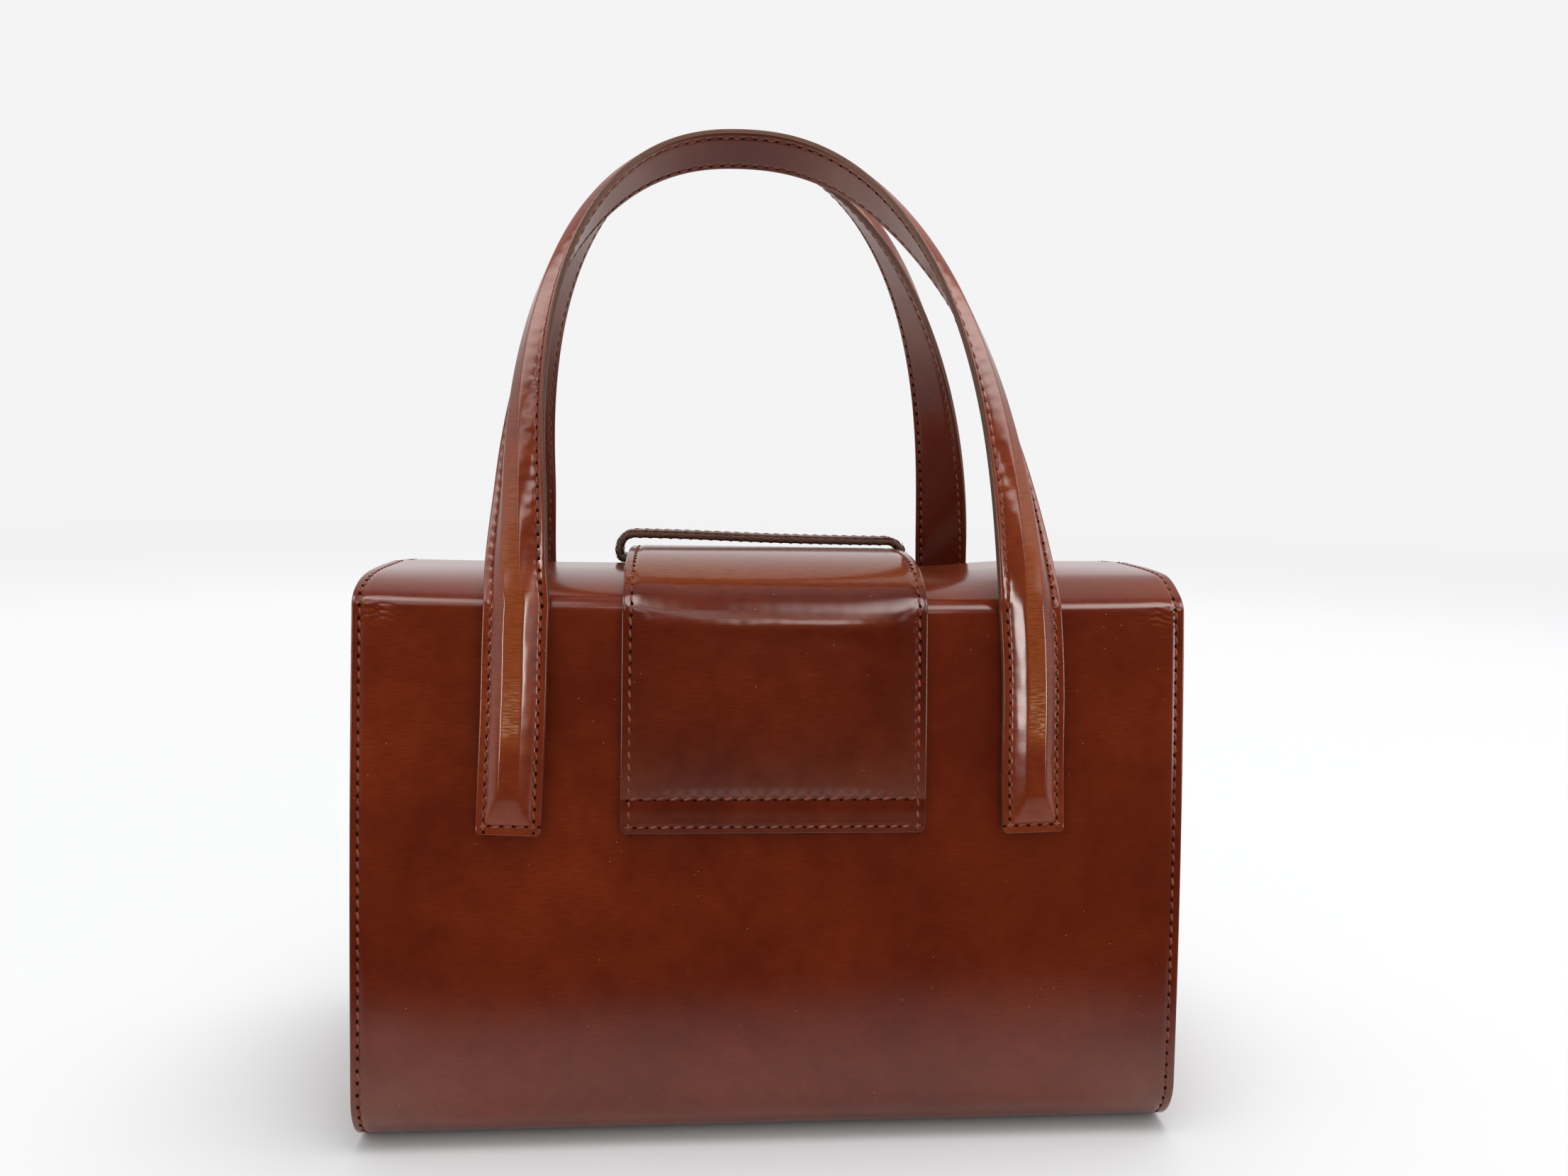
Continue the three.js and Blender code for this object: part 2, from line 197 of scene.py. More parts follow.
@dataclass
class Loft:
    """A closed skin through rings of equal point counts.

    rings is (stations, points, 3) in millimetres. skin is (stations, points, 2), the
    place on the flat leather. finishes is the number of the finish of the face after
    each ring point, (stations, points). marks are named values at each point.
    """

    rings: Array
    skin: Array
    finishes: Array
    cap: EndCap
    cap_finish: int = 0
    marks: dict[str, Array] = field(default_factory=dict)

    @classmethod
    def sheet(cls, stations: int, count: int, *marks: str) -> "Loft":
        """Empty loft of a sheet with an outer face, painted edges and an inner face.

        Args:
            stations: Number of rings.
            count: Points across one face, which is half of a ring.
            marks: Names of the values kept at each point.

        Returns:
            The loft, with all its points still at the origin.
        """
        shape = (stations, 2 * count)
        numbers = np.zeros(shape, dtype=int)
        numbers[:, count:] = 2
        numbers[:, [count - 1, -1]] = 1
        values = {name: np.zeros(shape) for name in marks}
        return cls(np.zeros((*shape, 3)), np.zeros((*shape, 2)), numbers, EndCap.STRIP, 1, values)

    def _sides(self) -> tuple[Array, Array]:
        """Faces between rings.

        Returns:
            The four corners of each face, and its finish.
        """
        stations, count = self.rings.shape[:2]
        rows = stations if self.cap is EndCap.JOINED else stations - 1
        row, column = np.meshgrid(np.arange(rows), np.arange(count), indexing="ij")
        next_row = (row + 1) % stations
        next_column = (column + 1) % count
        corners = [
            row * count + column,
            row * count + next_column,
            next_row * count + next_column,
            next_row * count + column,
        ]
        return np.stack(corners, axis=-1).reshape(-1, 4), self.finishes[:rows].reshape(-1)

    def _caps(self) -> tuple[list[tuple[int, ...]], Array]:
        """Faces that close the ends.

        Returns:
            The faces, and the middle points that they need.
        """
        stations, count = self.rings.shape[:2]
        last = (stations - 1) * count
        if self.cap is EndCap.JOINED:
            return [], np.zeros((0, 3))
        if self.cap is EndCap.STRIP:
            faces = []
            for i in range(count // 2 - 1):
                faces.append((i + 1, i, count - 1 - i, count - 2 - i))
                faces.append((last + i, last + i + 1, last + count - 2 - i, last + count - 1 - i))
            return faces, np.zeros((0, 3))
        first_pole = stations * count
        faces = []
        for i in range(count):
            after = (i + 1) % count
            faces.append((after, i, first_pole))
            faces.append((last + i, last + after, first_pole + 1))
        return faces, np.stack([self.rings[0].mean(axis=0), self.rings[-1].mean(axis=0)])

    def make(self, name: str, finishes: list[Material]) -> Piece:
        """Turn the loft into an object at the origin.

        Args:
            name: Piece name.
            finishes: Materials in the order of the finish numbers.

        Returns:
            The new object, linked to the scene.
        """
        sides, side_finishes = self._sides()
        caps, poles = self._caps()
        points = np.concatenate([self.rings.reshape(-1, 3), poles]) * MM
        faces = [tuple(face) for face in sides.tolist()] + caps
        numbers = np.concatenate([side_finishes, np.full(len(caps), self.cap_finish)])
        a, b, c, d = (points[sides[:, i]] for i in range(4))
        volume = np.einsum("ij,ij->", a, np.cross(b, c)) + np.einsum("ij,ij->", a, np.cross(c, d))
        if volume < 0:
            faces = [face[::-1] for face in faces]
        mesh = bpy.data.meshes.new(name)
        mesh.from_pydata(points.tolist(), [], faces)
        mesh.polygons.foreach_set("material_index", numbers.astype(np.int32))
        mesh.polygons.foreach_set("use_smooth", np.ones(len(faces), dtype=bool))
        self._mark(mesh, len(poles))
        mesh.set_sharp_from_angle(angle=SHARP_ANGLE)
        for finish in finishes:
            mesh.materials.append(finish)
        mesh.update()
        return link(name, mesh)

    def _mark(self, mesh: Mesh, poles: int) -> None:
        """Store the place on the flat leather and the named values at each point.

        Args:
            mesh: The loft's mesh.
            poles: Number of middle points at its end, which get zeros.
        """
        place = np.zeros((self.skin.shape[0] * self.skin.shape[1] + poles, 3))
        place[: len(place) - poles, :2] = self.skin.reshape(-1, 2) * MM
        skin = mesh.attributes.new(SKIN, "FLOAT_VECTOR", "POINT")
        skin.data.foreach_set("vector", place.astype(np.float32).reshape(-1))
        for name, values in self.marks.items():
            padded = np.concatenate([values.reshape(-1), np.zeros(poles)])
            mark = mesh.attributes.new(name, "FLOAT", "POINT")
            mark.data.foreach_set("value", padded.astype(np.float32))


def link(name: str, mesh: Mesh) -> Piece:
    """New object of a mesh, linked to the scene.

    Args:
        name: Name of the object.
        mesh: Its mesh.

    Returns:
        The object, at the origin.
    """
    piece = bpy.data.objects.new(name, mesh)
    bpy.context.scene.collection.objects.link(piece)
    return piece


def hand_over(piece: Piece, slot: str, *nodes: str) -> None:
    """Attach a finished piece to the body and hide the imported parts that it stands for.

    Args:
        piece: The piece, which rides on the body.
        slot: Its slot, which is not used.
        nodes: The nodes that it stands for, if any.
    """
    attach(piece, BODY)
    if nodes:
        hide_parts(*nodes)
    LOG.info("%s: %d faces", piece.name, len(piece.data.polygons))


# Finishes


def by_identifier(sockets: bpy.types.bpy_prop_collection, identifier: str) -> Socket:
    """The socket with an identifier, where several share a name."""
    return next(socket for socket in sockets if socket.identifier == identifier)


class Bench:
    """Adds and joins the nodes of one material."""

    def __init__(self, name: str) -> None:
        """Start an empty material with its shader and output.

        Args:
            name: Name of the material.
        """
        self.material = bpy.data.materials.new(name)
        self.material.use_nodes = True
        self.tree = self.material.node_tree
        self.tree.nodes.clear()
        self.shader = self.tree.nodes.new("ShaderNodeBsdfPrincipled")
        output = self.tree.nodes.new("ShaderNodeOutputMaterial")
        self.tree.links.new(self.shader.outputs["BSDF"], output.inputs["Surface"])

    def feed(self, socket: Socket, value: object) -> None:
        """Join an output to a socket, or set a plain value on it.

        Args:
            socket: The input to feed.
            value: Another node's output, or a plain value.
        """
        if isinstance(value, Socket):
            self.tree.links.new(value, socket)
        else:
            socket.default_value = value

    def put(self, name: str, value: object) -> None:
        """Feed one of the shader's own inputs."""
        self.feed(self.shader.inputs[name], value)

    def mark(self, name: str, output: str = "Fac") -> Socket:
        """Value of a piece's own attribute.

        Args:
            name: The attribute.
            output: The node's output to read.

        Returns:
            That output.
        """
        node = self.tree.nodes.new("ShaderNodeAttribute")
        node.attribute_name = name
        return node.outputs[output]

    def coordinates(self) -> Socket:
        """Place of a point in its own object."""
        return self.tree.nodes.new("ShaderNodeTexCoord").outputs["Object"]

    def place(self, axis: str) -> Socket:
        """Coordinate of a point along one axis of its own object.

        Args:
            axis: Name of the axis.

        Returns:
            The coordinate in metres.
        """
        node = self.tree.nodes.new("ShaderNodeSeparateXYZ")
        self.feed(node.inputs[0], self.coordinates())
        return node.outputs[axis]

    def distance(self) -> Socket:
        """Distance of a point from the middle of its own object.

        Returns:
            The distance in metres.
        """
        node = self.tree.nodes.new("ShaderNodeVectorMath")
        node.operation = "LENGTH"
        self.feed(node.inputs[0], self.coordinates())
        return node.outputs["Value"]

    def stretched(self, vector: Socket, scale: Place) -> Socket:
        """Place on the leather, stretched along its directions.

        Args:
            vector: The place.
            scale: Share of each direction that is left.

        Returns:
            The stretched place.
        """
        node = self.tree.nodes.new("ShaderNodeMapping")
        self.feed(node.inputs["Vector"], vector)
        node.inputs["Scale"].default_value = scale
        return node.outputs["Vector"]

    def noise(self, vector: Socket, size: float, detail: float = 3.0) -> Socket:
        """Cloudy value.

        Args:
            vector: Place to read it at.
            size: Size of its features in millimetres.
            detail: How many finer layers it has.

        Returns:
            The value, about 0.5 on the whole.
        """
        node = self.tree.nodes.new("ShaderNodeTexNoise")
        self.feed(node.inputs["Vector"], vector)
        node.inputs["Scale"].default_value = 1.0 / (size * MM)
        node.inputs["Detail"].default_value = detail
        node.inputs["Roughness"].default_value = 0.58
        return node.outputs["Fac"]

    def cells(self, vector: Socket, size: float) -> bpy.types.Node:
        """Cell pattern.

        Args:
            vector: Place to read it at.
            size: Size of a cell in millimetres.

        Returns:
            The node, with each cell's distance and colour.
        """
        node = self.tree.nodes.new("ShaderNodeTexVoronoi")
        node.feature = "F1"
        self.feed(node.inputs["Vector"], vector)
        node.inputs["Scale"].default_value = 1.0 / (size * MM)
        return node

    def span(self, value: Socket, low: float, high: float, to: Span = (0.0, 1.0)) -> Socket:
        """Map a value smoothly from one span onto another.

        Args:
            value: The value.
            low: Start of its span.
            high: End of its span.
            to: Start and end of the new span.

        Returns:
            The mapped value.
        """
        node = self.tree.nodes.new("ShaderNodeMapRange")
        node.interpolation_type = "SMOOTHSTEP"
        self.feed(node.inputs["Value"], value)
        for name, limit in (("From Min", low), ("From Max", high), ("To Min", to[0]), ("To Max", to[1])):
            node.inputs[name].default_value = limit
        return node.outputs["Result"]

    def math(self, operation: str, first: object, second: object = 0.0) -> Socket:
        """Plain sum of values.

        Args:
            operation: Name of the sum.
            first: First value or output.
            second: Second one, where the sum takes two.

        Returns:
            The result.
        """
        node = self.tree.nodes.new("ShaderNodeMath")
        node.operation = operation
        self.feed(node.inputs[0], first)
        self.feed(node.inputs[1], second)
        return node.outputs[0]

    def plus(self, first: object, second: object) -> Socket:
        """First value and second value added."""
        return self.math("ADD", first, second)

    def times(self, first: object, second: object) -> Socket:
        """First value multiplied by the second."""
        return self.math("MULTIPLY", first, second)

    def mix(self, share: object, first: object, second: object) -> Socket:
        """Colour between two others.

        Args:
            share: Share of the second colour.
            first: First colour or output.
            second: Second one.

        Returns:
            The mixed colour.
        """
        node = self.tree.nodes.new("ShaderNodeMix")
        node.data_type = "RGBA"
        for name, value in (("Factor_Float", share), ("A_Color", first), ("B_Color", second)):
            self.feed(by_identifier(node.inputs, name), (*value, 1.0) if isinstance(value, tuple) else value)
        return by_identifier(node.outputs, "Result_Color")

    def bump(self, height: Socket, depth: float, strength: float = 1.0) -> Socket:
        """Surface turned by a height.

        Args:
            height: The height, from 0 to 1.
            depth: What a height of 1 stands for, in millimetres.
            strength: Share of the turn that is kept.

        Returns:
            The turned normal.
        """
        node = self.tree.nodes.new("ShaderNodeBump")
        node.inputs["Strength"].default_value = strength
        node.inputs["Distance"].default_value = depth * MM
        self.feed(node.inputs["Height"], height)
        return node.outputs["Normal"]


@dataclass(frozen=True)
class GlazedLeather:
    """Glazed calf: cloudy dye, fine lines across, pores, pale specks of dirt and wear down to tan, with
    painted shade from the rim mark, painted light from the wear mark and a painted sheen haze.
    """

    name: str
    deep: Colour = (0.084, 0.0077, 0.0011)
    warm: Colour = (0.182, 0.0246, 0.0039)
    amber: Colour = (0.240, 0.0540, 0.0115)
    worn: Colour = (0.44, 0.23, 0.13)
    # Pale colour of the dirt specks, and also of the painted sheen haze.
    dust_and_sheen: Colour = (0.34, 0.20, 0.15)
    roughness: float = 0.42
    gloss: float = 0.01
    coat: float = 0.92
    coat_roughness: float = 0.15
    cloud_size: float = 58.0
    cloud_weight: float = 0.72
    blotches_per_cloud: float = 6.0
    blotch_weight: float = 0.28
    blotch_roughness: float = 0.16
    line_size: float = 0.42
    line_stretch: float = 0.08
    line_shade: float = 0.42
    line_height: float = 0.6
    line_roughness: float = 0.24
    rim_shade: float = 0.3
    pore_size: float = 0.55
    pore_height: float = 0.5
    grain_depth: float = 0.03
    coat_grain: float = 0.25
    speck_size: float = 3.4
    speck_strength: float = 0.7
    crack_size: float = 0.5
    crack_stretch: float = 0.12
    worn_depth: float = 0.5
    worn_roughness: float = 0.18

    def make(self) -> Material:
        """Build the material.

        Returns:
            The new material.
        """
        bench = Bench(self.name)
        skin = bench.mark(SKIN, "Vector")
        wear = bench.mark(WEAR_AND_PAINTED_LIGHT)
        rim = bench.mark(RIM_AND_PAINTED_SHADE)
        cloud = bench.noise(skin, self.cloud_size, 4.0)
        blotch = bench.noise(skin, self.cloud_size / self.blotches_per_cloud, 5.0)
        lines = bench.noise(bench.stretched(skin, (self.line_stretch, 1.0, 1.0)), self.line_size, 3.0)
        pores = bench.noise(skin, self.pore_size, 2.0)
        tone = bench.plus(bench.times(cloud, self.cloud_weight), bench.times(blotch, self.blotch_weight))
        colour = bench.mix(bench.span(tone, 0.26, 0.76), self.deep, self.warm)
        colour = bench.mix(bench.span(lines, 0.36, 0.62, (self.line_shade, 0.0)), colour, self.deep)
        # Darker rim at the cut edges; through the rim mark this also paints shade on the body's walls.
        colour = bench.mix(bench.span(rim, 0.0, 1.0, (0.0, self.rim_shade)), colour, self.deep)
        specks = bench.cells(skin, self.speck_size)
        near = bench.span(specks.outputs["Distance"], 0.035, 0.065, (1.0, 0.0))
        chosen = bench.span(specks.outputs["Color"], 0.60, 0.66)
        dust_and_sheen_share = bench.times(bench.times(near, chosen), self.speck_strength)
        colour = bench.mix(dust_and_sheen_share, colour, self.dust_and_sheen)
        # Painted sheen: the sheen mark mixes in a pale haze that stands in for reflections.
        haze = bench.times(bench.mark(PAINTED_SHEEN), bench.span(blotch, 0.3, 0.7, (0.75, 1.0)))
        colour = bench.mix(haze, colour, self.dust_and_sheen)
        cracks = bench.noise(bench.stretched(skin, (self.crack_stretch, 1.0, 1.0)), self.crack_size, 4.0)
        thin = bench.times(bench.span(wear, 0.0, 0.6), bench.span(lines, 0.30, 0.58, (0.3, 0.85)))
        colour = bench.mix(thin, colour, self.amber)
        bare = bench.times(bench.span(wear, 0.55, 1.0), bench.span(cracks, 0.47, 0.58))
        colour = bench.mix(bare, colour, self.worn)
        bench.put("Base Color", colour)
        spread = bench.times(bench.math("SUBTRACT", lines, 0.5), self.line_roughness)
        patchy = bench.times(bench.math("SUBTRACT", blotch, 0.5), self.blotch_roughness)
        dull = bench.times(bare, self.worn_roughness)
        rough = bench.plus(bench.plus(spread, patchy), bench.plus(dull, self.roughness))
        bench.put("Roughness", rough)
        height = bench.plus(bench.times(lines, self.line_height), bench.times(pores, self.pore_height))
        height = bench.math("SUBTRACT", height, bench.times(bare, self.worn_depth))
        bench.put("Normal", bench.bump(height, self.grain_depth))
        bench.put("Coat Normal", bench.bump(height, self.grain_depth, self.coat_grain))
        bench.put("Specular IOR Level", self.gloss)
        bench.put("Coat Weight", self.coat)
        bench.put("Coat Roughness", self.coat_roughness)
        return bench.material


@dataclass(frozen=True)
class CutEdge:
    """Painted cut edge of layered leather, with a dark joint between the layers."""

    name: str
    paint: Colour = (0.050, 0.024, 0.014)
    rubbed: Colour = (0.145, 0.070, 0.040)
    joint: Colour = (0.012, 0.006, 0.004)
    joint_place: float = 0.48
    roughness: float = 0.42
    dry_roughness: float = 0.6
    gloss: float = 0.2
    fibre_size: float = 0.8
    fibre_depth: float = 0.08
    patch_size: float = 6.0

    def make(self) -> Material:
        """Build the material.

        Returns:
            The new material.
        """
        bench = Bench(self.name)
        skin = bench.mark(SKIN, "Vector")
        layer = bench.mark(LAYER)
        fibre = bench.noise(skin, self.fibre_size, 4.0)
        patch = bench.noise(skin, self.patch_size)
        colour = bench.mix(bench.span(bench.plus(fibre, patch), 0.80, 1.25), self.paint, self.rubbed)
        off_joint = bench.math("ABSOLUTE", bench.math("SUBTRACT", layer, self.joint_place))
        colour = bench.mix(bench.span(off_joint, 0.02, 0.09, (0.8, 0.0)), colour, self.joint)
        bench.put("Base Color", colour)
        bench.put("Roughness", bench.span(fibre, 0.3, 0.7, (self.roughness, self.dry_roughness)))
        bench.put("Specular IOR Level", self.gloss)
        bench.put("Normal", bench.bump(fibre, self.fibre_depth))
        return bench.material


@dataclass(frozen=True)
class FleshSide:
    """Brushed flesh side of the leather, as on the inside of the bag."""

    name: str
    dark: Colour = (0.060, 0.022, 0.010)
    light: Colour = (0.120, 0.052, 0.026)
    nap_size: float = 1.1
    nap_depth: float = 0.12
    patch_size: float = 22.0
    roughness: float = 0.82
    gloss: float = 0.1
    sheen: float = 0.15

    def make(self) -> Material:
        """Build the material.

        Returns:
            The new material.
        """
        bench = Bench(self.name)
        skin = bench.mark(SKIN, "Vector")
        nap = bench.noise(skin, self.nap_size, 6.0)
        patch = bench.noise(skin, self.patch_size)
        colour = bench.mix(bench.span(bench.plus(nap, patch), 0.78, 1.22), self.dark, self.light)
        bench.put("Base Color", colour)
        bench.put("Roughness", self.roughness)
        bench.put("Specular IOR Level", self.gloss)
        bench.put("Sheen Weight", self.sheen)
        bench.put("Normal", bench.bump(nap, self.nap_depth))
        return bench.material


@dataclass(frozen=True)
class Thread:
    """Waxed linen thread with a twist."""

    name: str
    shade: Colour = (0.110, 0.021, 0.012)
    light: Colour = (0.235, 0.066, 0.041)
    fibre_size: float = 0.35
    fibre_depth: float = 0.06
    soil_size: float = 9.0
    roughness: float = 0.55
    gloss: float = 0.15

    def make(self) -> Material:
        """Build the material.

        Returns:
            The new material.
        """
        bench = Bench(self.name)
        place = bench.coordinates()
        fibre = bench.noise(place, self.fibre_size, 2.0)
        soil = bench.noise(place, self.soil_size, 2.0)
        colour = bench.mix(bench.span(bench.plus(fibre, soil), 0.75, 1.2), self.shade, self.light)
        bench.put("Base Color", colour)
        bench.put("Roughness", self.roughness)
        bench.put("Specular IOR Level", self.gloss)
        bench.put("Normal", bench.bump(fibre, self.fibre_depth))
        return bench.material


@dataclass(frozen=True)
class HoleShade:
    """Painted shade of an awl hole: a near-black patch at the end of a stitch stands for its dark hollow."""

    name: str
    dark: Colour = (0.009, 0.003, 0.002)
    brown: Colour = (0.026, 0.008, 0.004)
    patch_size: float = 1.5
    roughness: float = 0.9

    def make(self) -> Material:
        """Build the material.

        Returns:
            The new material.
        """
        bench = Bench(self.name)
        place = bench.coordinates()
        bench.put("Base Color", bench.mix(bench.noise(place, self.patch_size), self.dark, self.brown))
        bench.put("Roughness", self.roughness)
        bench.put("Specular IOR Level", 0.0)
        return bench.material


@dataclass(frozen=True)
class PaleFloor:
    """Plain pale studio floor that grows paler with distance."""

    name: str
    near: Colour = (0.725, 0.73, 0.728)
    far: Colour = (0.95, 0.95, 0.955)
    paling: Span = (0.2, 1.6)
    clearing: Span = (1.2, 4.5)

    def make(self) -> Material:
        """Build the material.

        Returns:
            The new material.
        """
        bench = Bench(self.name)
        distance = bench.distance()
        bench.put("Base Color", bench.mix(bench.span(distance, *self.paling), self.near, self.far))
        bench.put("Alpha", bench.span(distance, *self.clearing, (1.0, 0.0)))
        bench.put("Roughness", 1.0)
        bench.put("Specular IOR Level", 0.0)
        return bench.material


class Finishes:
    """Every material of the bag."""

    def __init__(self) -> None:
        """Make each finish once."""
        self.leather = GlazedLeather("chestnut_leather").make()
        # A darker copy of the chestnut leather, which paints shade on the tab.
        self.tab = GlazedLeather(
            "tab_leather", deep=(0.065, 0.0055, 0.0008), warm=(0.138, 0.0174, 0.0026)
        ).make()
        self.gusset = GlazedLeather("gusset_leather", cloud_size=34.0).make()
        self.strap = GlazedLeather(
            "strap_leather", deep=(0.115, 0.0125, 0.0022), warm=(0.250, 0.044, 0.0085), cloud_size=30.0
        ).make()
        self.keeper = GlazedLeather(
            "keeper_leather",
            deep=(0.052, 0.016, 0.009),
            warm=(0.096, 0.034, 0.020),
            cloud_size=18.0,
            coat=0.35,
        ).make()
        self.lining = GlazedLeather(
            "strap_lining",
            deep=(0.082, 0.012, 0.005),
            warm=(0.140, 0.027, 0.011),
            coat=0.42,
            coat_roughness=0.2,
        ).make()
        self.edge = CutEdge("painted_edge").make()
        self.flesh = FleshSide("flesh_side").make()
        self.thread = Thread("waxed_thread").make()
        # The awl holes are painted shade.
        self.hole = HoleShade("awl_hole_shade").make()


# Stitches


class Seam(Enum):
    """Stitch spacing of each kind of seam, in millimetres."""

    END = 3.85
    TAB_BORDER = 3.72
    TAB_BAND = 4.1
    STRAP = 3.65
    KEEPER = 3.6


@dataclass
class StitchRow:
    """One row of stitches: a line of points with the way that the leather faces."""

    points: Array
    normals: Array


@dataclass
class Stitcher:
    """Sews rows of slanted stitches, each with its awl hole, by Geometry Nodes."""

    finishes: Finishes
    thread_width: float = 0.86
    thread_height: float = 0.74
    cover: float = 0.70
    hole_width: float = 1.35
    hole_narrowing: float = 0.8
    hole_height: float = 0.16
    bead_segments: int = 8
    bead_rings: int = 5
    slant: float = 10.0
    slant_jitter: float = 3.5
    seed: int = 11

    def _inputs(self, tree: bpy.types.NodeTree) -> dict[str, str]:
        """Add the tree's named inputs.

        Args:
            tree: The new node tree.

        Returns:
            The identifier of each input by its name.
        """
        face = tree.interface
        face.new_socket("Geometry", in_out="INPUT", socket_type="NodeSocketGeometry")
        face.new_socket("Geometry", in_out="OUTPUT", socket_type="NodeSocketGeometry")
        kinds = {
            "Pitch": "NodeSocketFloat",
            "Stitch Size": "NodeSocketVector",
            "Hole Size": "NodeSocketVector",
            "Slant": "NodeSocketFloat",
            "Slant Jitter": "NodeSocketFloat",
            "Seed": "NodeSocketInt",
            "Thread": "NodeSocketMaterial",
            "Hole": "NodeSocketMaterial",
        }
        names = {}
        for name, kind in kinds.items():
            names[name] = face.new_socket(name, in_out="INPUT", socket_type=kind).identifier
        return names

    def _tree(self) -> tuple[bpy.types.NodeTree, dict[str, str]]:
        """Build the node tree that sews rows.

        Returns:
            The tree, and the identifier of each input by its name.
        """
        tree = bpy.data.node_groups.new("sewn_rows", "GeometryNodeTree")
        names = self._inputs(tree)
        add = tree.nodes.new
        join = tree.links.new
        given = add("NodeGroupInput").outputs
        rows = add("GeometryNodeMeshToCurve")
        join(given["Geometry"], rows.inputs["Mesh"])
        even = add("GeometryNodeResampleCurve")
        even.mode = "LENGTH"
        join(rows.outputs["Curve"], even.inputs["Curve"])
        join(given["Pitch"], even.inputs["Length"])
        normal = add("GeometryNodeInputNamedAttribute")
        normal.data_type = "FLOAT_VECTOR"
        normal.inputs["Name"].default_value = ROW_NORMAL
        turn = add("FunctionNodeAxesToRotation")
        turn.primary_axis = "Z"
        turn.secondary_axis = "X"
        join(normal.outputs["Attribute"], turn.inputs["Primary Axis"])
        join(add("GeometryNodeInputTangent").outputs["Tangent"], turn.inputs["Secondary Axis"])
        jitter = add("FunctionNodeRandomValue")
        jitter.data_type = "FLOAT"
        for operation, limit in (("SUBTRACT", "Min_001"), ("ADD", "Max_001")):
            bound = add("ShaderNodeMath")
            bound.operation = operation
            join(given["Slant"], bound.inputs[0])
            join(given["Slant Jitter"], bound.inputs[1])
            join(bound.outputs[0], by_identifier(jitter.inputs, limit))
        join(given["Seed"], jitter.inputs["Seed"])
        lean = add("ShaderNodeCombineXYZ")
        join(by_identifier(jitter.outputs, "Value_001"), lean.inputs["Z"])
        leaning = add("FunctionNodeEulerToRotation")
        join(lean.outputs["Vector"], leaning.inputs["Euler"])
        slanted = add("FunctionNodeRotateRotation")
        slanted.rotation_space = "LOCAL"
        join(turn.outputs["Rotation"], slanted.inputs["Rotation"])
        join(leaning.outputs["Rotation"], slanted.inputs["Rotate By"])
        aside = add("ShaderNodeVectorMath")
        aside.operation = "MULTIPLY"
        back = add("ShaderNodeCombineXYZ")
        join(given["Pitch"], back.inputs["X"])
        join(back.outputs["Vector"], aside.inputs[0])
        aside.inputs[1].default_value = (-0.5, 0.0, 0.0)
        gathered = add("GeometryNodeJoinGeometry")
        for size, material, place in (("Stitch Size", "Thread", None), ("Hole Size", "Hole", aside)):
            bead = add("GeometryNodeMeshUVSphere")
            bead.inputs["Segments"].default_value = self.bead_segments
            bead.inputs["Rings"].default_value = self.bead_rings
            bead.inputs["Radius"].default_value = 0.5
            shaped = add("GeometryNodeTransform")
            join(bead.outputs["Mesh"], shaped.inputs["Geometry"])
            join(given[size], shaped.inputs["Scale"])
            if place is not None:
                join(place.outputs["Vector"], shaped.inputs["Translation"])
            set_out = add("GeometryNodeInstanceOnPoints")
            join(even.outputs["Curve"], set_out.inputs["Points"])
            join(shaped.outputs["Geometry"], set_out.inputs["Instance"])
            join(slanted.outputs["Rotation"], set_out.inputs["Rotation"])
            real = add("GeometryNodeRealizeInstances")
            join(set_out.outputs["Instances"], real.inputs["Geometry"])
            painted = add("GeometryNodeSetMaterial")
            join(real.outputs["Geometry"], painted.inputs["Geometry"])
            join(given[material], painted.inputs["Material"])
            join(painted.outputs["Geometry"], gathered.inputs["Geometry"])
        join(gathered.outputs["Geometry"], add("NodeGroupOutput").inputs["Geometry"])
        return tree, names

    def _lines(self, name: str, rows: list[StitchRow]) -> Piece:
        """Object whose loose edges run along the rows.

        Args:
            name: Name of the object.
            rows: The rows.

        Returns:
            The object, with the leather's facing at each point.
        """
        points = np.concatenate([row.points for row in rows]) * MM
        normals = np.concatenate([row.normals for row in rows])
        edges = []
        start = 0
        for row in rows:
            edges += [(start + i, start + i + 1) for i in range(len(row.points) - 1)]
            start += len(row.points)
        mesh = bpy.data.meshes.new(name)
        mesh.from_pydata(points.tolist(), edges, [])
        facing = mesh.attributes.new(ROW_NORMAL, "FLOAT_VECTOR", "POINT")
        facing.data.foreach_set("vector", normals.astype(np.float32).reshape(-1))
        return link(name, mesh)

    def sew(self, name: str, rows: list[StitchRow], seam: Seam, slant: float | None = None) -> Piece:
        """Sew rows and return them as one plain mesh.

        Args:
            name: Piece name.
            rows: The rows to sew.
            seam: Kind of seam, which gives the spacing.
            slant: Lean of each stitch in degrees, or None for the usual lean.

        Returns:
            The stitches of all rows.
        """
        tree, names = self._tree()
        lines = self._lines(name + "_lines", rows)
        pitch = seam.value * MM
        values = {
            "Pitch": pitch,
            "Stitch Size": (pitch * self.cover, self.thread_width * MM, self.thread_height * MM),
            "Hole Size": (
                self.hole_width * MM,
                self.hole_width * self.hole_narrowing * MM,
                self.hole_height * MM,
            ),
            "Slant": math.radians(self.slant if slant is None else slant),
            "Slant Jitter": math.radians(self.slant_jitter),
            "Seed": self.seed,
            "Thread": self.finishes.thread,
            "Hole": self.finishes.hole,
        }
        sewing = lines.modifiers.new("sewing", "NODES")
        sewing.node_group = tree
        for key, value in values.items():
            sewing[names[key]] = value
        graph = bpy.context.evaluated_depsgraph_get()
        mesh = bpy.data.meshes.new_from_object(lines.evaluated_get(graph), depsgraph=graph)
        mesh.name = name
        mesh.polygons.foreach_set("use_smooth", np.ones(len(mesh.polygons), dtype=bool))
        lines.modifiers.clear()
        bpy.data.objects.remove(lines)
        return link(name, mesh)


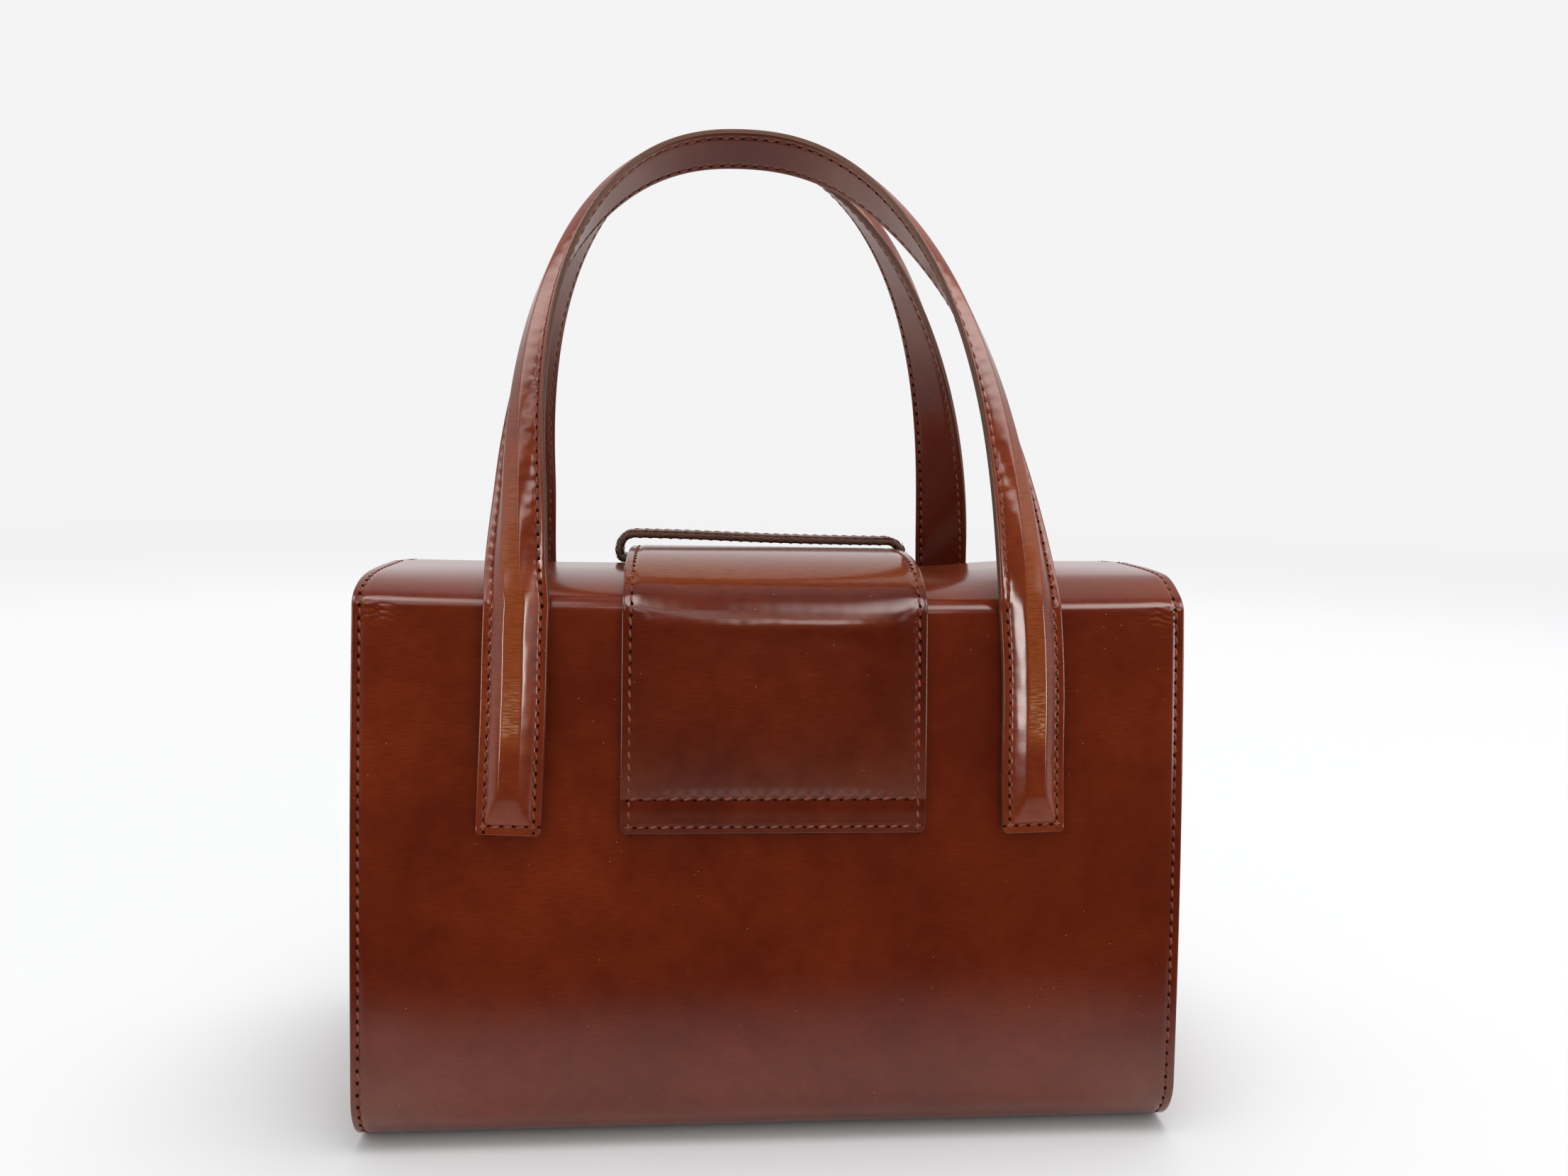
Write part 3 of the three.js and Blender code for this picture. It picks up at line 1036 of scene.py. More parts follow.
def joined(name: str, pieces: list[Piece]) -> Piece:
    """Join stitched meshes into one piece.

    Args:
        name: Name of the joined piece.
        pieces: Objects at the origin with the same materials in the same order.

    Returns:
        The joined object.
    """
    with bpy.context.temp_override(active_object=pieces[0], selected_editable_objects=pieces):
        bpy.ops.object.join()
    pieces[0].name = name
    pieces[0].data.name = name
    return pieces[0]


# The body's outline


@dataclass(frozen=True)
class Outline:
    """Section of the body across its width, as (y, z)."""

    wall: float = 2.2
    crease_z: float = 171.5
    crease_half_depth: float = 45.0
    low_half_depth: float = 57.5
    wall_bulge: float = 1.6
    corner_radius: float = 17.0
    soft_crease: float = 3.0
    tight_crease: float = 2.7
    crease_sag: float = 1.6
    sag_half_span: float = 126.0
    right_lift: float = 2.3
    lift_start_x: float = 54.0
    back_rise: float = 6.8
    front_rise: float = 6.2
    flattening: float = 8.0
    mouth_back_y: float = 8.0
    mouth_front_y: float = 14.0
    seam_gap: float = 0.3
    close_rows_z: float = 156.0

    def half_depth(self, z: float | Array) -> float | Array:
        """Half depth of the outer wall.

        Args:
            z: Height, or heights.

        Returns:
            The half depth at each height.
        """
        t = (z - self.corner_radius) / (self.crease_z - self.corner_radius)
        straight = lerp(self.low_half_depth, self.crease_half_depth, t)
        return straight + self.wall_bulge * 4 * t * (1 - t)

    def top(self, inset: float | Array, rise: float, flattening: float) -> float | Array:
        """Height of a top that rises from the crease, at a distance in from it."""
        return self.crease_z + rise * (1 - np.exp(-inset / flattening))

    def _side(self, rise: float, roof: float, rounding: float) -> Array:
        """One side of the outline, from its lip down to the base.

        Args:
            rise: Height of the top over the crease.
            roof: Distance from the crease in to the lip.
            rounding: Size of the crease's rounding.

        Returns:
            Points as (half depth, z).
        """
        inset = lerp(rounding, roof, np.linspace(1, 0, 42) ** 1.7)
        top = np.stack([self.crease_half_depth - inset, self.top(inset, rise, self.flattening)], axis=1)
        fold_z = self.crease_z - rounding
        crease = np.array([self.crease_half_depth, self.crease_z])
        fold = quadratic(top[-1], crease, np.array([self.half_depth(fold_z), fold_z]), 14)
        close = np.linspace(fold_z, self.close_rows_z, 30)[1:]
        z = np.concatenate([close, np.linspace(self.close_rows_z, self.corner_radius, 52)[1:]])
        wall = np.stack([self.half_depth(z), z], axis=1)
        angle = np.linspace(0, math.pi / 2, 18)[1:]
        corner_y = self.low_half_depth - self.corner_radius * (1 - np.cos(angle))
        corner_z = self.corner_radius * (1 - np.sin(angle))
        return np.concatenate([top, fold[1:], wall, np.stack([corner_y, corner_z], axis=1)])

    def wrap(self, rounding: float) -> Array:
        """Outer outline, from the back lip round the base to the front lip.

        Args:
            rounding: Size of the creases' rounding.

        Returns:
            Points as (y, z).
        """
        back = self._side(self.back_rise, self.crease_half_depth + self.mouth_back_y, rounding)
        front = self._side(self.front_rise, self.crease_half_depth - self.mouth_front_y, rounding)
        flat = self.low_half_depth - self.corner_radius
        base_y = np.linspace(-flat, flat, 22)[1:-1]
        base = np.stack([base_y, np.zeros_like(base_y)], axis=1)
        return np.concatenate([back * (-1, 1), base, front[::-1]])

    @staticmethod
    def facing(points: Array) -> Array:
        """Outward direction of the wrap's outline at each point."""
        along = tangents(points)
        return np.stack([along[:, 1], -along[:, 0]], axis=1)

    def settled(self, points: Array) -> Array:
        """Let both creases down towards the middle of the width, and raise the top's right part.

        Args:
            points: Points as (x, y, z).

        Returns:
            The moved points.
        """
        x, y, z = points[..., 0], points[..., 1], points[..., 2]
        middle = np.clip(1 - (x / self.sag_half_span) ** 2, 0, None)
        near = ease((z - 125.0) / 46.0) * ease((np.abs(y) - 10.0) / 33.0)
        inset = self.crease_half_depth - np.abs(y)
        raised = ease((x - self.lift_start_x) / 36.0) * ease(inset / 16.0) * ease((z - 145.0) / 25.0)
        moved = points.copy()
        moved[..., 2] += self.right_lift * raised - self.crease_sag * middle * near
        return moved

    def inward(self, distance: float) -> Array:
        """The soft outline moved inwards by a distance."""
        points = self.wrap(self.soft_crease)
        return points - self.facing(points) * distance


EDGE_STOPS = [0.0, 0.1, 0.28, 0.52, 0.82, 1.2, 1.6, 2.0, 2.35, 2.7, 3.1, 3.6, 4.2, 5.0]


@dataclass
class BodyWrap:
    """One sheet of leather wrapped round the base, both walls and the top."""

    finishes: Finishes
    outline: Outline
    width: float = 260.0
    stitch_inset: float = 2.6
    groove_depth: float = 0.32
    groove_width: float = 1.0
    edge_rounding: float = 0.6
    inner_rounding: float = 0.5
    sag: float = 0.75
    tab_half_width: float = 50.0
    wrinkle_depth: float = 0.16
    wrinkle_pitch: float = 1.9
    corner_pucker: float = 0.55
    low_shade: float = 0.8
    right_shade: float = 0.7
    roof_painted_light: float = 0.16
    base_painted_sheen: float = 0.1
    end_painted_sheen: float = 0.16
    painted_sheen_height: float = 34.0
    flesh_shift: float = 700.0

    def _wrinkles(self, from_end: Array, z: Array, y: Array) -> tuple[Array, Array]:
        """Fine wrinkles in the wall, just below the ends of the creases.

        Args:
            from_end: Distances from the nearer end.
            z: Heights.
            y: Places from back to front.

        Returns:
            How wrinkled each point is, from 0 to 1, and the wave of the wrinkles.
        """
        below = self.outline.crease_z - z
        zone = bell(below - 4.0, 3.0) * bell(from_end - 8.0, 5.0) * (np.abs(y) > 40.0)
        phase = below + 0.16 * from_end + 0.5 * np.sin(0.9 * from_end)
        return zone, np.sin(2 * math.pi * phase / self.wrinkle_pitch)

    def _dress_depth(self, x: Array, from_end: Array, along: Array, z: Array, y: Array) -> Array:
        """How far each outer point moves out of the plain outline: seams, sag and wrinkles.

        Args:
            x: Places along the width.
            from_end: Distances from the nearer end.
            along: Distances along the outline.
            z: Heights.
            y: Places from back to front.

        Returns:
            The outward moves.
        """
        groove = -self.groove_depth * bell(from_end - self.stitch_inset, self.groove_width)
        rounding = rounded(from_end, self.edge_rounding)
        wall_share = ease((self.outline.crease_z - z) / 26.0) * ease((z - 4.0) / 20.0)
        swell = -self.sag * ripples(x, along) * ease((from_end - 3.0) / 22.0) * wall_share
        zone, wave = self._wrinkles(from_end, z, y)
        wrinkles = self.wrinkle_depth * zone * (wave - 1.0)
        pucker = -self.corner_pucker * bell(x + 119.0, 7.0) * bell(z - 30.0, 9.0) * (y < 0)
        return groove + rounding + swell + wrinkles + pucker

    def _mark(self, x: float, from_end: Array, z: Array, y: Array) -> dict[str, Array]:
        """Rim darkening, painted shade on the walls, wrinkle wear, painted light on the roof and painted
        sheen near the base, at one station.

        Args:
            x: Place along the width.
            from_end: Distances from the nearer end.
            z: Heights.
            y: Places from back to front.

        Returns:
            The values by the name of their mark.
        """
        crease_z = self.outline.crease_z
        # Painted shade: the walls darken towards the bottom and towards the right.
        painted_wall_shade = self.low_shade * ease((115.0 - z) / 75.0) + self.right_shade * ease((x - 10.0) / 60.0)
        zone, wave = self._wrinkles(from_end, z, y)
        # Painted light: the roof above the crease is lightened towards amber.
        painted_top_light = self.roof_painted_light * ease((z - crease_z - 0.5) / 3.0)
        # Painted sheen: pale haze low on the walls, stronger near both ends, stands in for the floor's
        # reflection.
        dust_and_sheen_share = self.base_painted_sheen + self.end_painted_sheen * ease((abs(x) - 88.0) / 34.0)
        return {
            RIM_AND_PAINTED_SHADE: np.maximum(bell(from_end, 1.4), painted_wall_shade * (z < crease_z)),
            WEAR_AND_PAINTED_LIGHT: np.maximum(0.8 * zone * ease((wave - 0.5) / 0.5), painted_top_light),
            PAINTED_SHEEN: dust_and_sheen_share * np.clip(1.0 - z / self.painted_sheen_height, 0.0, 1.0),
        }

    def build(self) -> None:
        """Make the wrap."""
        soft = self.outline.wrap(self.outline.soft_crease)
        tight = self.outline.wrap(self.outline.tight_crease)
        soft_facing = self.outline.facing(soft)
        inner = self.outline.inward(self.outline.wall)
        along = run_length(soft)
        half = self.width / 2
        stations = mirrored_stops([*EDGE_STOPS, 6.2, 7.5, 9.0, 10.5, 12.0, 14.0], 4.6, half)
        count = len(soft)
        sheet = Loft.sheet(len(stations), count, RIM_AND_PAINTED_SHADE, WEAR_AND_PAINTED_LIGHT, PAINTED_SHEEN)
        for row, x in enumerate(stations):
            line = lerp(soft, tight, ease((abs(x) - self.tab_half_width) / 5.0))
            y, z = line[:, 0], line[:, 1]
            from_end = np.full(count, half - abs(x))
            depth = self._dress_depth(np.full(count, x), from_end, along, z, y)
            outer = line + self.outline.facing(line) * depth[:, None]
            outer[:, 1] = np.maximum(outer[:, 1], 0.0)
            lifted = np.clip(self.inner_rounding - from_end, 0.0, self.inner_rounding)[:, None]
            sheet.rings[row, :, 0] = x
            sheet.rings[row, :count, 1:] = outer
            sheet.rings[row, count:, 1:] = (inner + soft_facing * lifted)[::-1]
            sheet.skin[row, :, 0] = x
            sheet.skin[row, :count, 1] = along
            sheet.skin[row, count:, 1] = along[::-1] + self.flesh_shift
            for name, values in self._mark(x, from_end, z, y).items():
                sheet.marks[name][row, :count] = values
        sheet.rings = self.outline.settled(sheet.rings)
        piece = sheet.make("bag_body_wrap", [self.finishes.leather, self.finishes.edge, self.finishes.flesh])
        hand_over(piece, "body_leather", "body_wrap")

    def rows(self) -> list[StitchRow]:
        """End seams, round the whole outline at both ends.

        Returns:
            One row for each end.
        """
        tight = self.outline.wrap(self.outline.tight_crease)
        facing = self.outline.facing(tight)
        line = tight - facing * (self.groove_depth - 0.06)
        line[:, 1] = np.maximum(line[:, 1], 0.35)
        rows = []
        for side in (-1, 1):
            x = np.full((len(line), 1), side * (self.width / 2 - self.stitch_inset))
            points = self.outline.settled(np.hstack([x, line]))
            rows.append(StitchRow(points, np.hstack([np.zeros_like(x), facing])))
        return rows


@dataclass
class Gusset:
    """Dished end panel, with its rim sewn to the inside of the wrap's end."""

    finishes: Finishes
    outline: Outline
    side: int
    half_width: float = 130.0
    wall: float = 2.0
    inset: float = 8.0
    fillet: float = 2.4
    dish: float = 1.6
    fold_depth: float = 1.9
    swell: float = 0.5
    middle_z: float = 92.0
    stitch_inset: float = 2.6
    groove_depth: float = 0.22
    rim_shift: float = 300.0

    def _panel_x(self, y: Array, z: Array, share: float) -> Array:
        """How far the panel is pushed into the bag: a shallow dish with a soft upright fold.

        Args:
            y: Places from back to front.
            z: Heights.
            share: Place between the panel's middle at 0 and its rim at 1.

        Returns:
            The inward moves.
        """
        hollow = 1.0 - share**2
        fold = bell(y - 1.5, 9.0) * ease((z - 40.0) / 110.0)
        swell = self.swell * ripples(2.2 * y, 1.7 * z)
        return self.dish * hollow + self.fold_depth * fold * hollow**0.5 + swell * hollow

    def build(self) -> None:
        """Make the gusset."""
        rim_out = self.outline.wall + self.outline.seam_gap
        rim_in = rim_out + self.wall
        end = self.half_width
        face_x = end - self.inset
        back_x = face_x - self.wall
        centre = np.array([0.0, self.middle_z])
        shares = np.concatenate([np.linspace(0.04, 0.9, 22), np.linspace(0.92, 1.0, 6)])
        foot = self.outline.inward(rim_in + self.fillet)
        rings = []
        for share in shares:
            line = centre + (foot - centre) * share
            rings.append((face_x - self._panel_x(line[:, 0], line[:, 1], share), line))
        for angle in np.linspace(0, math.pi / 2, 7)[1:]:
            line = self.outline.inward(rim_in + self.fillet * (1 - math.sin(angle)))
            rings.append((np.full(len(line), face_x + self.fillet * (1 - math.cos(angle))), line))
        rim_start = len(rings)
        for from_end in (5.0, 4.0, 3.3, 2.9, 2.6, 2.3, 1.9, 1.2, 0.6):
            dip = self.groove_depth * bell(from_end - self.stitch_inset, 0.9)
            line = self.outline.inward(rim_in - dip)
            rings.append((np.full(len(line), end - from_end), line))
        round_start = len(rings)
        for angle in np.linspace(0, math.pi, 7):
            line = self.outline.inward(rim_in - 0.5 * self.wall * (1 - math.cos(angle)))
            rings.append((np.full(len(line), end - 0.5 + 0.5 * math.sin(angle)), line))
        round_stop = len(rings)
        turn = self.outline.inward(rim_out)
        for x in np.linspace(end - 2.0, back_x, 5):
            rings.append((np.full(len(turn), x), turn))
        for share in shares[::-1]:
            line = centre + (turn - centre) * share
            push = self._panel_x(line[:, 0], line[:, 1], share)
            rings.append((back_x - push * (share < 1.0), line))
        points = np.stack([np.column_stack([self.side * x, line]) for x, line in rings])
        skin = points[:, :, 1:].copy()
        skin[rim_start:, :, 0] = points[rim_start:, :, 0] * self.side + self.rim_shift
        skin[rim_start:, :, 1] = run_length(turn)[None, :]
        numbers = np.zeros(points.shape[:2], dtype=int)
        numbers[round_start : round_stop - 1] = 1
        numbers[round_stop - 1 :] = 2
        loft = Loft(self.outline.settled(points), skin, numbers, EndCap.POLE)
        name = "gusset_left" if self.side < 0 else "gusset_right"
        piece = loft.make("bag_" + name, [self.finishes.gusset, self.finishes.edge, self.finishes.flesh])
        hand_over(piece, "gusset_leather", name)

    def rows(self) -> list[StitchRow]:
        """Inside of the end seam, along the rim.

        Returns:
            The one row.
        """
        rim_in = self.outline.wall + self.outline.seam_gap + self.wall
        soft = self.outline.wrap(self.outline.soft_crease)
        line = self.outline.inward(rim_in - 0.16)
        x = np.full((len(line), 1), self.side * (self.half_width - self.stitch_inset))
        facing = np.hstack([np.zeros_like(x), -self.outline.facing(soft)])
        return [StitchRow(self.outline.settled(np.hstack([x, line])), facing)]


@dataclass
class ClosureTab:
    """Broad tab over the top, sewn down at its back end with a double row."""

    finishes: Finishes
    outline: Outline
    width: float = 95.0
    shift: float = -1.0
    thickness: float = 2.7
    margin_thickness: float = 2.05
    roof_thickness: float = 2.3
    end_z: float = 100.0
    wall_run: float = 66.0
    rise: float = 10.8
    flattening: float = 9.0
    corner_radius: float = 2.5
    stitch_inset: float = 2.6
    end_row: float = 2.1
    band_row: float = 10.9
    band_height: float = 0.34
    groove_depth: float = 0.24
    pucker: float = 0.1
    edge_rounding: float = 0.5
    inner_rounding: float = 0.3
    cushion: float = 3.2
    cushion_reach: float = 30.0
    roll: float = 0.62
    roll_below_fold: float = 5.2
    fold_press: float = 0.5
    fold_ripple: float = 0.10
    roll_wear_and_highlight: float = 0.25
    roof_painted_light: float = 0.42
    painted_sheen: float = 0.16
    painted_sheen_reach: float = 8.5
    band_painted_sheen: float = 0.05
    skin_shift: float = 400.0
    flesh_shift: float = 800.0

    def _underside(self) -> Array:
        """Underside of the tab, from the back end over the top to the front end.

        Returns:
            Points as (y, z).
        """
        line = self.outline
        fold_z = line.crease_z - line.soft_crease
        stops = [EDGE_STOPS, np.linspace(5.6, 14.0, 20), np.linspace(14.7, self.wall_run, 70)]
        near_fold = np.linspace(self.wall_run + 0.5 + self.end_z, fold_z, 4)
        z = np.concatenate([self.end_z + np.concatenate(stops), near_fold])
        wall = np.stack([-line.half_depth(z) - line.seam_gap, z], axis=1)
        inset = line.soft_crease
        bend = np.array([-line.crease_half_depth - line.seam_gap, line.crease_z + 2 * line.seam_gap])
        roof_start = np.array([inset - line.crease_half_depth, line.top(inset, self.rise, self.flattening)])
        fold = quadratic(wall[-1], bend, roof_start, 14)
        inset = lerp(inset, line.crease_half_depth, (np.linspace(0, 1, 40)[1:]) ** 1.4)
        roof = np.stack([inset - line.crease_half_depth, line.top(inset, self.rise, self.flattening)], axis=1)
        half = np.concatenate([wall, fold[1:], roof])
        return np.concatenate([half, (half * (-1, 1))[::-1][1:]])

    def _spine(self) -> tuple[Array, Array, Array]:
        """Underside of the tab with its run.

        Returns:
            The points, the distance along them and the way that each faces.
        """
        under = self._underside()
        direction = tangents(under)
        return under, run_length(under), np.stack([-direction[:, 1], direction[:, 0]], axis=1)

    def _fold(self) -> float:
        """Distance along the tab from its end to the crease."""
        under = self._underside()
        return float(run_length(under)[np.argmax(under[:, 1] > self.outline.crease_z)])

    def _cushion(self, x: Array, from_side: Array, from_end: Array) -> Array:
        """Padding of the tab, with the roll below its fold and the press along the fold.

        Args:
            x: Places across the tab.
            from_side: Distances in from the nearer long edge.
            from_end: Distances from the nearer end.

        Returns:
            The height that the padding adds.
        """
        rising = 1 - (1 - np.clip((from_end - self.band_row) / self.cushion_reach, 0, 1)) ** 1.5
        lift = self.cushion * rising * lerp(0.55, 1.0, ease((self.wall_run - from_end) / 30.0))
        lift = lift * ease((80.0 - from_end) / 24.0)
        lift = lift * ease((from_side - 2.4) / 24.0)
        to_fold = from_end - self._fold()
        fullness = lerp(0.5, 1.0, ease((x + 30.0) / 45.0))
        roll = fullness * self.roll * bell(to_fold + self.roll_below_fold, 4.2)
        lift = lift + roll * ease((from_side - 3.5) / 9.0)
        lift = lift - self.fold_press * bell(to_fold, 4.5) * ease(from_side / 4.0)
        uneven = self.fold_ripple * (ripples(15.0 * x, 11.0 * from_end) - 0.5) * bell(to_fold + 8.0, 9.0)
        return lift + uneven * ease(from_side / 8.0)

    def _stitching(self, from_side: Array, from_end: Array) -> tuple[Array, Array]:
        """What the rows of stitches do to the leather.

        Args:
            from_side: Distances in from the nearer long edge.
            from_end: Distances from the nearer end.

        Returns:
            Where the rows press grooves, and where the leather is plump between stitches.
        """
        above = from_end - self.band_row
        down = bell(from_side - self.stitch_inset, 1.0)
        grooves = np.maximum(down, bell(from_end - self.end_row, 0.9))
        scallop = np.cos(2 * math.pi * from_side / Seam.TAB_BAND.value)
        band_groove = 0.5 * bell(above + 0.3 * scallop, 1.1) * ease((from_side - 2.0) / 1.5)
        plump = down * np.cos(2 * math.pi * from_end / Seam.TAB_BORDER.value)
        plump = plump + 2.0 * bell(above - 1.2, 1.2) * scallop * ease((from_side - 3.0) / 2.0)
        return np.maximum(grooves, band_groove), plump

    def _thickness(self, x: Array, from_end: Array) -> Array:
        """Thickness of the tab at each point.

        Args:
            x: Places across the tab.
            from_end: Distances from the nearer end.

        Returns:
            The height of the outer face over the underside.
        """
        from_side = self._half_width(from_end) - np.abs(x)
        above = from_end - self.band_row
        sewn = lerp(self.margin_thickness, self.thickness, ease((from_side - 2.0) / 7.0))
        over_roof = ease((from_end - self.wall_run) / 8.0)
        sewn = lerp(sewn, np.minimum(sewn, self.roof_thickness), over_roof)
        flat = np.where(above < 0, self.margin_thickness, np.maximum(sewn, self.margin_thickness))
        flat = lerp(self.margin_thickness, flat, ease(above / 5.0))
        in_band = (above < 0) & (from_end > self.end_row)
        share = np.clip((from_end - self.end_row) / (self.band_row - self.end_row), 0, 1)
        crown = self.band_height * np.sin(math.pi * share) ** 1.5
        band = crown * ease((from_side - 2.6) / 3.0) * in_band
        lift = self._cushion(x, from_side, from_end)
        rounding = rounded(np.minimum(from_side, from_end), self.edge_rounding)
        grooves, plump = self._stitching(from_side, from_end)
        return flat + lift + band + rounding - self.groove_depth * grooves + self.pucker * plump

    def _half_width(self, from_end: Array) -> Array:
        """Half width near an end, whose corners are rounded."""
        across = self.corner_radius - np.minimum(from_end, self.corner_radius)
        return self.width / 2 - self.corner_radius + np.sqrt(self.corner_radius**2 - across**2)

    def _surface(self, u: Array, station: Array) -> tuple[Array, Array]:
        """Points on the top of the leather, and the way that they face.

        Args:
            u: Places across the tab, as shares of its half width from -1 to 1.
            station: Distances along it from its back end.

        Returns:
            The points and the outward directions.
        """
        under, along, facing = self._spine()
        normal = unit(at_stations(station, along, facing))
        from_end = np.minimum(station, along[-1] - station)
        x = u * self._half_width(from_end)
        top = at_stations(station, along, under) + normal * self._thickness(x, from_end)[:, None]
        points = np.hstack([(self.shift + x)[:, None], top])
        return self.outline.settled(points), np.hstack([np.zeros((len(u), 1)), normal])

    def _mark(self, x: Array, from_side: Array, from_end: Array) -> dict[str, Array | float]:
        """Rim darkening, roll wear with a painted highlight, painted light on the top and painted sheen over
        and on the band, at one station.

        Args:
            x: Places across the tab.
            from_side: Distances in from the nearer long edge.
            from_end: Distances from the nearer end.

        Returns:
            The values by the name of their mark.
        """
        fold = self._fold()
        # Rubbed roll below the fold; its pale tan is real wear and also paints the roll's highlight, stronger
        # to the right.
        roll = bell(fold - from_end - self.roll_below_fold + 0.6, 2.6) * ease((from_side - 6.0) / 10.0)
        broken = lerp(0.45, 1.0, ease((x + 34.0) / 30.0)) * (0.86 + 0.14 * np.sin(x * 0.31 + 0.8))
        # Painted light: the tab's top over the roof is lightened towards amber.
        painted_top_light = self.roof_painted_light * ease((from_end - fold - 1.0) / 9.0)
        above = from_end - self.band_row
        # Painted sheen: pale haze over the sewn band, fading upwards, and a lighter strip on the band stand
        # in for reflections.
        over_band = self.painted_sheen * np.exp(-np.clip(above, 0, None) / self.painted_sheen_reach)
        on_band = self.band_painted_sheen * ease((-above - 2.5) / 3.0)
        return {
            RIM_AND_PAINTED_SHADE: bell(np.minimum(from_side, from_end), 1.2),
            WEAR_AND_PAINTED_LIGHT: np.maximum(self.roll_wear_and_highlight * roll * broken, painted_top_light),
            LAYER: 1.0,
            PAINTED_SHEEN: np.where(above > 0, over_band, on_band),
        }

    def build(self) -> None:
        """Make the tab."""
        under, along, facing = self._spine()
        shares = mirrored_stops(EDGE_STOPS, 1.0, self.width / 2) / (self.width / 2)
        count = len(shares)
        sheet = Loft.sheet(len(under), count, RIM_AND_PAINTED_SHADE, WEAR_AND_PAINTED_LIGHT, LAYER, PAINTED_SHEEN)
        for row, station in enumerate(along):
            from_end = np.full(count, min(station, along[-1] - station))
            half = self._half_width(from_end)
            x = shares * half
            from_side = half - np.abs(x)
            depth = self._thickness(x, from_end)
            from_edge = np.minimum(from_side, from_end)
            hem = np.clip(self.inner_rounding - from_edge, 0.0, self.inner_rounding)
            sheet.rings[row, :count, 0] = x + self.shift
            sheet.rings[row, :count, 1:] = under[row] + facing[row] * depth[:, None]
            sheet.rings[row, count:, 0] = x[::-1] + self.shift
            sheet.rings[row, count:, 1:] = under[row] + facing[row] * hem[::-1, None]
            sheet.skin[row, :count, 0] = x + self.skin_shift
            sheet.skin[row, count:, 0] = x[::-1] + self.flesh_shift
            sheet.skin[row, :, 1] = station
            for name, values in self._mark(x, from_side, from_end).items():
                sheet.marks[name][row, :count] = values
        sheet.rings = self.outline.settled(sheet.rings)
        piece = sheet.make("bag_closure_tab", [self.finishes.tab, self.finishes.edge, self.finishes.flesh])
        hand_over(piece, "tab_leather", "closure_tab")

    def border_rows(self) -> list[StitchRow]:
        """Rows along both long edges and across both ends.

        Returns:
            The four rows.
        """
        total = run_length(self._underside())[-1]
        ends = (self.end_row, total - self.end_row)
        inner = 1 - self.stitch_inset / (self.width / 2)
        station = np.linspace(*ends, 400)
        rows = [StitchRow(*self._surface(np.full(400, side * inner), station)) for side in (-1, 1)]
        across = np.linspace(-inner, inner, 60)
        return rows + [StitchRow(*self._surface(across, np.full(60, end))) for end in ends]

    def band_rows(self) -> list[StitchRow]:
        """Second row above the sewn end.

        Returns:
            The one row.
        """
        inner = 1 - (self.stitch_inset + 1.6) / (self.width / 2)
        across = np.linspace(-inner, inner, 60)
        return [StitchRow(*self._surface(across, np.full(60, self.band_row)))]


